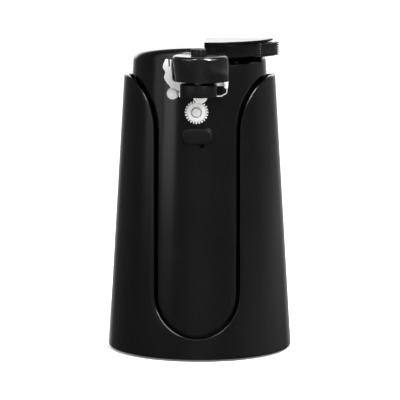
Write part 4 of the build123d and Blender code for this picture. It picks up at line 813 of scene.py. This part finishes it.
tool_steel = finish(
    "tool_steel", (0.4, 0.4, 0.395), (0.52, 0.52, 0.515), 0.42, 0.16, 700, 0.1, 0.6, 0.3, metallic=0.3,
)
half_tooth = pi / tooth_count
tooth = plate_piece("tooth", [
    (-tooth_foot * sin(half_tooth), tooth_foot * cos(half_tooth)),
    (tooth_foot * sin(half_tooth), tooth_foot * cos(half_tooth)),
    (0.6, tooth_root), (0.34, tooth_tip), (-0.34, tooth_tip), (-0.6, tooth_root),
], drive_back_y, drive_front_y, 0.14, steps=2)
tooth_ring = repeated(
    "tooth_ring", tooth, tooth_count, start=(drive_centre[0], 0, drive_centre[1]), turn=(0, 2 * half_tooth, 0),
    material=tool_steel,
)
recess_y = drive_front_y + recess_depth
wheel_disc = turned("toothed_wheel", [
    (hub_radius, drive_back_y), (tooth_root - 0.25, drive_back_y), (tooth_root, drive_back_y - 0.25),
    (tooth_root, drive_front_y + 0.25), (tooth_root - 0.25, drive_front_y),
    (recess_radius + 0.25, drive_front_y), (recess_radius, drive_front_y + 0.25), (recess_radius, recess_y),
    (hub_radius, recess_y), (hub_radius, drive_back_y),
], drive_centre)
join_pieces(wheel_disc, [tooth_ring])
put(wheel_disc, tool_steel, "drive", "drive_wheel")

rivet_end = turned("rivet_end", [
    (2.5, -50.0), (2.5, -51.2), (4.0, -51.2), (4.2, -51.4), (4.2, -52.45), (4.0, -52.65), (2.5, -52.7),
    (2.5, recess_y), *rounded_end(shaft_end_radius, 0.5, shaft_end_y, 1), (0, shaft_end_y - 0.05),
], drive_centre, steps=48)
shaft_rest = turned(
    "shaft_rest", [(0, -14.0), (2.3, -14.0), (2.5, -14.2), (2.5, -50.0), (0, -50.0)], drive_centre, steps=48,
)
join_pieces(rivet_end, [shaft_rest])
put(rivet_end, tool_steel, "drive", "drive_shaft")

# ---------- Pivot pin ----------
# A turned steel pin that the lever's bracket swings on; its domed head is bright from handling.
# The shank is pressed in the front cover's boss, with a shoulder against the tongue.
pivot_stud = turned("pivot_stud", [
    (0, -40.0), (2.3, -40.0), (2.5, -40.2), (2.5, -48.6), (4.0, -48.78), (4.0, -50.1), (3.8, -50.3),
    (2.5, -50.3), (2.5, -52.45), (3.05, -52.5), (3.2, -52.65), *arc((0, -53.3), (3.2, -1.0), 0, pi / 2, 7),
], pivot, steps=56)
put(pivot_stud, tool_steel, "case", "pivot_pin")

# ---------- Cutter bracket ----------
# One bright stamping of thick steel sheet: a web behind the magnet's drum, a hooked finger at the left,
# a bent strip at the right that guides the can's rim, and a small tab at the pivot.
sheet_back_y, sheet_front_y = -50.6, -52.2
sheet_edge, lobe_radius = 0.3, 3.35
lobe_start, lobe_sweep = radians(112), radians(293)
cutter_centre = (2.6, 184.6)
screw_holes = [(9.0, 208.0, 1.45), (17.0, 208.0, 1.45)]
finger_outer = [
    (-3.4, 23.6), (-4.9, 23.4), (-6.6, 18.6), (-5.7, 16.4), (-4.9, 14.7), (-5.5, 12.6),
    (-5.8, 11.2), (-5.3, 9.7), (-4.2, 8.0), (-2.8, 6.3), (-1.5, 4.8),
]
finger_inner = [(4.9, 7.7), (2.6, 8.1), (0.7, 8.8), (-0.1, 10.4), (-0.4, 13.4), (-0.8, 18.0)]
finger_slit = [(-0.8, 23.4), (-1.7, 23.4), (-1.8, 18.6), (-2.7, 18.5), (-2.9, 23.2)]
web_corners = [
    (8.2, 2.2), (8.2, -2.2), (28.5, -2.2), (28.5, 5.5), (36.6, 5.5), (36.6, 26.8), (21.5, 26.8), (21.5, 10.6),
]


def smooth_line(points, steps=6):
    """A smooth curve through points."""
    padded = [points[0]] + list(points) + [points[-1]]
    line = []
    for index in range(len(points) - 1):
        a, b, c, d = (Vector(p) for p in padded[index:index + 4])
        for step in range(steps):
            t = step / steps
            line.append(tuple(0.5 * (2 * b + (c - a) * t + (2 * a - 5 * b + 4 * c - d) * t * t
                                     + (3 * b - a - 3 * c + d) * t ** 3)))
    line.append(tuple(points[-1]))
    return line


lobe = arc((0, 0), lobe_radius, lobe_start, lobe_start + lobe_sweep, 30)
web = rounded(web_corners, [0.4, 0.5, 1.0, 0.8, 0.5, 2.5, 1.0, 0.3])
stamped_outline = smooth_line(finger_outer) + lobe + web + smooth_line(finger_inner) + finger_slit
stamped_plate = plate_piece(
    "stamped_plate", [(pivot[0] + x, pivot[1] + z) for x, z in stamped_outline],
    sheet_back_y, sheet_front_y, sheet_edge, holes=[(*pivot, 2.6), (*cutter_centre, 1.55), *screw_holes],
)
strip_corners = [
    (21.7, 195.4), (21.4, 190.4), (20.9, 189.6), (20.9, 186.7), (16.9, 184.4), (12.0, 184.4), (12.0, 184.8),
    (16.8, 184.8), (20.5, 186.9), (20.5, 189.8), (18.9, 190.6), (19.3, 192.6), (18.6, 194.4), (18.9, 196.6),
    (21.2, 196.6),
]
strip_bends = [0.8, 0.3, 0.2, 1.4, 1.8, 0.1, 0.1, 1.2, 1.0, 0.2, 0.5, 0.5, 0.5, 0.3, 0.3]
strip_outline = rounded(strip_corners, strip_bends)
rim_strip = plate_piece("rim_strip", strip_outline, sheet_back_y, sheet_front_y - 5.0, 0.12, steps=2)
tab_outline = rounded([(-11.8, 184.2), (-11.1, 184.2), (-11.1, 190.6), (-11.8, 190.6)], 0.2)
pivot_tab = plate_piece("pivot_tab", tab_outline, sheet_front_y + 0.3, -59.2, 0.15, steps=2)
join_pieces(stamped_plate, [rim_strip, pivot_tab])
stamped_steel = finish(
    "stamped_steel", (0.42, 0.42, 0.415), (0.56, 0.56, 0.555), 0.38, 0.18, 500, 0.12, 0.7, 0.35, (1, 1, 0.25),
    metallic=0.3,
)
put(stamped_plate, stamped_steel, "lever", "cutter_bracket")

# ---------- Cutting wheel and its rivet ----------
# A small hardened disc, ground to an edge on both sides, that cuts into the lid beside the can's rim.
# It turns on a rivet with a low domed head, which is fixed in the bracket.
cutter_disc = turned("cutter_disc", [
    (1.55, -52.5), (2.1, -52.5), (2.2, -52.6), (2.2, -56.0), (4.7, -56.33), (5.0, -56.4), (4.7, -56.48),
    (3.2, -57.0), (1.55, -57.0), (1.55, -52.5),
], cutter_centre, steps=64)
put(cutter_disc, tool_steel, "cutter", "cutting_wheel")
cutter_rivet = turned("cutter_rivet", [
    (0, -50.6), (1.5, -50.6), (1.5, -57.3), (2.7, -57.3), (2.8, -57.4),
    *arc((0, -57.55), (2.8, -0.55), 0, pi / 2, 6),
], cutter_centre, steps=48)
put(cutter_rivet, tool_steel, "lever", "cutter_axle")

# ---------- Lever handle with its ribbed grip ----------
# The handle that presses the can against the wheel: a hollow black moulding over the pocket,
# open below, with an arm and a pad at the left that are screwed to the bracket, and a ribbed grip.
hood_low_z, hood_top_z, hood_skirt_z = 209.9, 219.0, 212.4
hood_left_x, hood_back_y, hood_centre_y = 20.3, -9.0, -3.0
hood_half_width, hood_half_depth = 48.67, 47.0
hood_wall, hood_left_wall, hood_roof = 2.2, 2.4, 2.4
hood_edge, hood_corner = 0.7, 1.2
arm_left_x, arm_right_x, pad_low_z, pad_back_y = 5.0, 21.5, 204.0, -48.2


def plan_outline(left_x, back_y, across, along, inset, corner, steps=44):
    """Top view of a cap's outline: straight at the left and the back, oval at the front and right."""
    left, back, sides = left_x + inset, back_y - inset, (across - inset, inset - along)
    start, end = asin(sqrt(1 - (left / sides[0]) ** 2)), asin((back - hood_centre_y) / sides[1])
    radius = max(corner - inset, 0.05)
    outline = [(left, back)] + arc((0, hood_centre_y), sides, start, end, steps)
    return rounded(outline, [radius, radius] + [0] * (steps - 1) + [radius], 4)


def hood_ring(inset, z):
    """One level of the handle's body; its skirt is cut away along the back."""
    ring = []
    for x, y in plan_outline(hood_left_x, hood_back_y, hood_half_width, hood_half_depth, inset, hood_corner):
        cut_away = y > hood_back_y - hood_wall - 0.2 and x > hood_left_x + hood_left_wall
        ring.append((x, y, max(z, hood_skirt_z if cut_away else hood_low_z)))
    return ring


hood_levels = [(hood_wall, hood_top_z - hood_roof), (hood_wall, hood_low_z), (0.0, hood_low_z)]
hood_levels += [(inset, hood_top_z - drop) for inset, drop in round_over(hood_edge, 4)]
lever_hood = stacked("lever_hood", [hood_ring(*level) for level in hood_levels])
lever_arm = plate_piece(
    "lever_arm", rounded([
        (arm_left_x, sheet_back_y), (arm_right_x, sheet_back_y), (arm_right_x, hood_back_y),
        (arm_left_x, hood_back_y),
    ], [0.8, 0.1, 0.1, 0.8]), hood_top_z - 1.6, hood_top_z, 0.25, axis="z",
)
lever_pad = plate_piece(
    "lever_pad", rounded([
        (arm_left_x, pad_low_z), (arm_right_x, pad_low_z), (arm_right_x, 218.6), (13.0, 218.6), (13.0, 213.0),
        (arm_left_x, 213.0),
    ], [0.8, 0.4, 0.1, 0.1, 0.6, 0.8]), pad_back_y, sheet_back_y, 0.25, holes=screw_holes,
)
arm_rib = plate_piece(
    "arm_rib", rounded([(5.2, 213.4), (13.4, 213.4), (13.4, 217.6), (5.2, 217.6)], 0.4), -49.3, -50.5, 0.4,
)
switch_nib = plate_piece(
    "switch_nib", rounded([(24.5, -26.0), (27.5, -26.0), (27.5, -18.0), (24.5, -18.0)], 0.5),
    207.2, hood_top_z - 2.0, 0.3, axis="z",
)

# The grip: a plain core with six ribs round it, which stand out of the handle's right side
grip_low_z, grip_high_z, grip_front_y = 208.8, 218.5, -30.0
grip_half_width, grip_half_depth = 56.6, 42.0
grip_inner_width, grip_inner_depth = 48.2, 44.4
grip_corner, grip_bare_edge = 1.1, 0.05
rib_count, rib_height, groove_depth = 6, 0.92, 0.9
rib_pitch = (grip_high_z - grip_low_z) / rib_count


def grip_inner(y):
    """The grip's inner side follows the tower's wall, which it passes when the lever is pressed."""
    return grip_inner_width * sqrt(1 - ((y - hood_centre_y) / grip_inner_depth) ** 2)


def grip_outline(inset):
    """Top view of the grip: an oval strip with rounded corners."""
    sides = (grip_half_width - inset, inset - grip_half_depth)
    back_y, front_y = hood_back_y - inset, grip_front_y + inset
    first, last = (asin((y - hood_centre_y) / sides[1]) for y in (back_y, front_y))
    inner = [front_y + (back_y - front_y) * step / 6 for step in range(6)]
    outline = [(grip_inner(back_y), back_y)] + arc((0, hood_centre_y), sides, first, last, 14)
    outline += [(grip_inner(y), y) for y in inner]
    front = [grip_corner, grip_bare_edge]
    return rounded(outline, front[::-1] + [0] * 13 + front + [0] * 5, 4)


def grip_slab(name, low_z, high_z, inset, edge):
    """A layer of the grip with rounded edges."""
    levels = [(inset + drop, low_z + in_from) for in_from, drop in round_over(edge, 3)]
    levels += [(inset + in_from, high_z - drop) for in_from, drop in round_over(edge, 3)]
    return stacked(name, [[(x, y, z) for x, y in grip_outline(level_inset)] for level_inset, z in levels])


lever_black = finish("lever_black", soft_black, pale_black, 0.22, 0.1, 1100, 0.05, 0.4, 0.3, level=0.16)
grip_black = finish("grip_black", soft_black, pale_black, 0.25, 0.1, 1100, 0.05, 0.4, 0.3, level=0.6)
grip_core = grip_slab("grip_core", grip_low_z + 0.15, grip_high_z - 0.15, groove_depth, 0.2)
grip_rib = grip_slab("grip_rib", -rib_height / 2, rib_height / 2, 0.0, 0.4)
grip_ribs = repeated(
    "grip_ribs", grip_rib, rib_count, start=(0, 0, grip_low_z + rib_pitch / 2), step=(0, 0, rib_pitch),
    material=grip_black,
)
join_pieces(lever_hood, [lever_arm, lever_pad, arm_rib, switch_nib])
join_pieces(grip_core, [grip_ribs])
put(grip_core, grip_black, "lever", "lever_handle")
put(lever_hood, lever_black, "lever", "lever_handle")

# ---------- Lever cap ----------
# A thin cover moulded in the handle's black plastic, with a small rounded edge all round.
# It is pressed on top of the handle and its arm.
cap_low_z, cap_high_z, cap_edge, cap_corner = 219.0, 220.6, 0.5, 0.9
cap_half_width = 51.9
cap_levels = [(0.25, cap_low_z), (0.0, cap_low_z + 0.2)]
cap_levels += [(inset, cap_high_z - drop) for inset, drop in round_over(cap_edge, 4)] + [(1.6, cap_high_z)]
pressed_cap = stacked("pressed_cap", [
    [(x, y, z) for x, y in plan_outline(
        arm_left_x, hood_back_y, cap_half_width, hood_half_depth, inset, cap_corner,
    )]
    for inset, z in cap_levels
])
cap_black = finish("cap_black", soft_black, pale_black, 0.2, 0.1, 1100, 0.05, 0.4, 0.3, level=0.1)
put(pressed_cap, cap_black, "lever", "lever_cap")

# ---------- Magnet housing ----------
# A black drum, open below, screwed to the front of the bracket; it widens a little towards its top.
# The flat at its back lies against the steel, and the stem of the magnet slides through its roof.
drum_low_z, drum_high_z, drum_y, drum_flat_y = 196.3, 213.6, -68.5, -52.2
drum_low_x, drum_high_x = 4.6, 3.1
drum_low_radius, drum_high_radius = 18.1, 19.1
drum_wall, drum_edge = 2.0, 2.5
drum_steps, flat_steps = 76, 8


def drum_ring(z, inset, flat_inset):
    """One level of the drum, cut off straight at the back."""
    share = (z - drum_low_z) / (drum_high_z - drum_low_z)
    centre_x = drum_low_x + (drum_high_x - drum_low_x) * share
    radius = drum_low_radius + (drum_high_radius - drum_low_radius) * share - inset
    first = asin(min(0.9999, (drum_flat_y - flat_inset - drum_y) / radius))
    ring = arc((centre_x, drum_y), radius, pi - first, 2 * pi + first, drum_steps)
    (start_x, flat_y), end_x = ring[-1], ring[0][0]
    ring += [(start_x + (end_x - start_x) * step / flat_steps, flat_y) for step in range(1, flat_steps)]
    return [(x, y, z) for x, y in ring]


drum_levels = [(drum_high_z - drum_wall, drum_wall, drum_wall), (drum_low_z, drum_wall, drum_wall)]
drum_levels += [(drum_low_z + rise, inset, 0.0) for rise, inset in ((0, 0.35), (0.1, 0.1), (0.35, 0.0))]
drum_levels.append(((drum_low_z + drum_high_z) / 2, 0.0, 0.0))
drum_levels += [(drum_high_z - drop, inset, 0.0) for inset, drop in round_over(drum_edge, 10)]
drum_levels.append((drum_high_z - 0.0001, drum_edge + 0.1, 0.2))
magnet_drum = stacked("magnet_drum", [drum_ring(*level) for level in drum_levels])
drum_black = finish("drum_black", deep_black, pale_black, 0.19, 0.06, 1000, 0.02, 0.3, 0.3, level=0.7)
put(magnet_drum, drum_black, "lever", "magnet_housing")

# ---------- Magnet holder, magnet and knob ----------
# The lid magnet is pressed in a black holder under the drum; stem and knob lift with it.
# The knob on top of the drum is small, with finger scallops round its rim.
magnet_centre = (2.0, -71.5)
holder_low_z, holder_high_z, holder_radius, holder_edge = 186.0, 194.4, 12.45, 0.6
magnet_radius, magnet_depth = 10.0, 3.0
magnet_top_z, seat_radius = holder_low_z + magnet_depth, magnet_radius + 0.04
magnet_cup = turned("magnet_cup", [
    (2.0, 190.4), (2.0, holder_high_z - 0.2), (2.2, holder_high_z),
    *reversed(rounded_end(holder_radius, holder_edge, holder_high_z, -1)),
    *rounded_end(holder_radius, holder_edge, holder_low_z, 1),
    (magnet_radius + 0.3, holder_low_z), (seat_radius, holder_low_z + 0.25), (seat_radius, magnet_top_z),
    (0.0, magnet_top_z),
], magnet_centre, "z", 96)
put(magnet_cup, dull_black, "magnet", "magnet_holder")
magnet_disc = turned("magnet_disc", [
    (0, magnet_top_z), (magnet_radius - 0.1, magnet_top_z), (magnet_radius, magnet_top_z - 0.1),
    (magnet_radius, holder_low_z + 0.35), (magnet_radius - 0.35, holder_low_z), (0, holder_low_z),
], magnet_centre, "z", 96)
magnet_nickel = finish(
    "magnet_nickel", (0.6, 0.59, 0.56), (0.75, 0.74, 0.71), 0.18, 0.14, 800, 0.06, 0.5, 0.4, metallic=1.0,
)
put(magnet_disc, magnet_nickel, "magnet", "lid_magnet")

# The knob: (inset from the rim, height) from its underside up and in to the shallow dish on top
knob_low_z, knob_high_z, knob_radius, knob_steps = 213.9, 218.2, 5.3, 144
scallop_count, scallop_radius, round_within = 8, 1.2, 1.0
scallop_ring = knob_radius + scallop_radius / 2
knob_levels = [(3.3, knob_low_z), (0.15, knob_low_z), (0.0, knob_low_z + 0.15)]
knob_levels += [(inset, knob_high_z - drop) for inset, drop in (
    (0.0, 0.6), (0.06, 0.36), (0.22, 0.14), (0.45, 0.03), (0.75, 0), (1.9, 0), (2.3, 0.12), (2.6, 0.3),
    (4.2, 0.35),
)]


def knob_rim(turn):
    """Radius of the scalloped rim in one direction."""
    spacing = 2 * pi / scallop_count
    off = abs((turn + spacing / 2) % spacing - spacing / 2)
    across = scallop_ring * sin(off)
    if across >= scallop_radius:
        return knob_radius
    return min(knob_radius, scallop_ring * cos(off) - sqrt(scallop_radius ** 2 - across ** 2))


def knob_ring(inset, z):
    """One level of the knob; well inside the rim it is round."""
    ring = []
    for turn in [2 * pi * step / knob_steps for step in range(knob_steps)]:
        radius = knob_radius - inset if inset > round_within else knob_rim(turn) - inset
        ring.append((magnet_centre[0] + radius * cos(turn), magnet_centre[1] + radius * sin(turn), z))
    return ring


lift_knob = stacked("lift_knob", [knob_ring(*level) for level in knob_levels])
put(lift_knob, dull_black, "magnet", "magnet_knob")

# ---------- Base ----------
# A black moulded plate closes the body from below, on a rubber ring that keeps the opener from sliding.
# Four steel screws with crossed recesses hold it to the sleeve's feet.
base_black = finish(
    "base_black", (0.006, 0.006, 0.0065), (0.016, 0.016, 0.017), 0.42, 0.12, 1500, 0.18, 0.3, 0.3,
)
dress(base_black, "base_plate")
rubber_black = finish(
    "rubber_black", (0.012, 0.012, 0.012), (0.035, 0.034, 0.033), 0.7, 0.15, 1400, 0.3, 0.3, 0.35,
)
dress(rubber_black, "foot_ring")
screw_steel = finish(
    "screw_steel", (0.45, 0.45, 0.44), (0.7, 0.7, 0.69), 0.32, 0.2, 900, 0.15, 0.7, 0.3, metallic=1.0,
)
dress(screw_steel, "base_screws")

# ---------- Cord inlet ----------
# A soft black grommet of moulded rubber where the cord goes in.
# It is pressed in the round hole low in the sleeve's back.
dress(rubber_black, "cord_inlet")

# ---------- Gear case ----------
# Two bright steel plates, held apart by turned posts and screws; the front one rests on the cover's bosses.
# The drive shaft turns in bushes of sintered bronze, and the gears run on ground steel axles.
plate_steel = finish(
    "plate_steel", (0.42, 0.43, 0.43), (0.6, 0.6, 0.6), 0.4, 0.2, 500, 0.15, 0.5, 0.4, (0.2, 1, 1),
    metallic=1.0,
)
dress(plate_steel, "front_plate", "rear_plate", "plate_posts")
dress(screw_steel, "case_screws", "gear_axles")
sintered_bronze = finish(
    "sintered_bronze", (0.42, 0.25, 0.1), (0.62, 0.42, 0.2), 0.38, 0.15, 1500, 0.2, 0.5, 0.3, metallic=1.0,
)
dress(sintered_bronze, "shaft_bushes")

# ---------- Gear train ----------
# Three gears, moulded in pale nylon, which runs quietly without oil.
# They take the motor's speed down in three steps to the drive shaft.
gear_nylon = finish("gear_nylon", (0.62, 0.6, 0.54), (0.72, 0.7, 0.64), 0.45, 0.12, 900, 0.1, 0.3, 0.3)
dress(gear_nylon, "first_gear", "second_gear", "output_gear")

# ---------- Motor ----------
# A shaded-pole motor: a stack of iron sheets with a taped coil on a bobbin, and a rotor between two
# cast brackets with bronze bearings. Its shaft has a pinion in front and a moulded fan behind.


def banded(made, direction, bands, depth, colour_low, colour_high):
    """Adds fine parallel bands, such as windings or laminations, to a finish."""
    tree = made.node_tree
    shader = tree.nodes["Principled BSDF"]
    wave = add_node(tree, "ShaderNodeTexWave", {
        "Vector": add_node(tree, "ShaderNodeTexCoord").outputs["Object"],
        "Scale": bands, "Distortion": 0.6, "Detail": 1.0,
    }, bands_direction=direction).outputs["Fac"]
    colours = add_node(tree, "ShaderNodeValToRGB", {"Fac": wave})
    for stop, colour in zip(colours.color_ramp.elements, (colour_low, colour_high)):
        stop.color = (*colour, 1)
    groove = add_node(tree, "ShaderNodeBump", {
        "Distance": 0.0004, "Strength": depth, "Height": wave,
        "Normal": shader.inputs["Normal"].links[0].from_socket,
    })
    fill(shader, {"Base Color": colours.outputs["Color"], "Normal": groove.outputs[0]})
    return made


laminated_iron = banded(
    finish("laminated_iron", (0.2, 0.21, 0.23), (0.3, 0.3, 0.31), 0.45, 0.15, 900, 0.1, metallic=0.8),
    "Y", 300, 0.5, (0.1, 0.105, 0.115), (0.26, 0.27, 0.29),
)
dress(laminated_iron, "motor_stack", "rotor_core")
taped_winding = banded(
    finish("taped_winding", (0.3, 0.12, 0.03), (0.4, 0.18, 0.06), 0.35, 0.12, 900, 0.1),
    "X", 260, 0.6, (0.22, 0.075, 0.02), (0.5, 0.2, 0.06),
)
dress(taped_winding, "motor_coil")
inner_nylon = finish("inner_nylon", (0.05, 0.052, 0.055), (0.1, 0.1, 0.105), 0.45, 0.12, 1200, 0.12, 0.3, 0.3)
dress(inner_nylon, "coil_bobbin", "cooling_fan")
cast_aluminium = finish(
    "cast_aluminium", (0.5, 0.51, 0.52), (0.68, 0.69, 0.7), 0.45, 0.15, 1100, 0.3, 0.4, 0.3, metallic=1.0,
)
dress(cast_aluminium, "front_bracket", "rear_bracket")
dress(sintered_bronze, "motor_bearings", "motor_pinion")
dress(plate_steel, "motor_shaft")
dress(screw_steel, "motor_bolts")

# ---------- Switch ----------
# A small push switch under the lever: a black moulded body with a nylon plunger.
# A coil spring of bright wire pushes the plunger up when the lever is let go.
dress(base_black, "switch_body")
dress(inner_nylon, "switch_plunger")
spring_low_z, spring_high_z, plunger_travel = 188.5, 195.0, 1.5
coil_radius, wire_radius, coil_turns = 1.45, 0.25, 5
turn_steps, wire_steps = 28, 10
spring_x, spring_y = switch_place
rise = spring_high_z - spring_low_z - 2 * wire_radius
coil_rings = []
for step in range(coil_turns * turn_steps + 1):
    turn = 2 * pi * step / turn_steps
    middle_z = spring_low_z + wire_radius + rise * step / (coil_turns * turn_steps)
    wire = arc((coil_radius, middle_z), wire_radius, 0, 2 * pi, wire_steps)[:-1]
    coil_rings.append([(spring_x + reach * cos(turn), spring_y + reach * sin(turn), z) for reach, z in wire])
wire_coil = stacked("wire_coil", coil_rings, 50)
put(wire_coil, screw_steel, "case", "plunger_spring")
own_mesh(wire_coil)

# ---------- Lever screws and magnet stem ----------
# Two steel screws clamp drum, bracket and handle together.
# The stem that joins magnet and knob is turned from bright steel and slides through the drum's roof.
dress(screw_steel, "lever_screws")
dress(tool_steel, "magnet_stem")
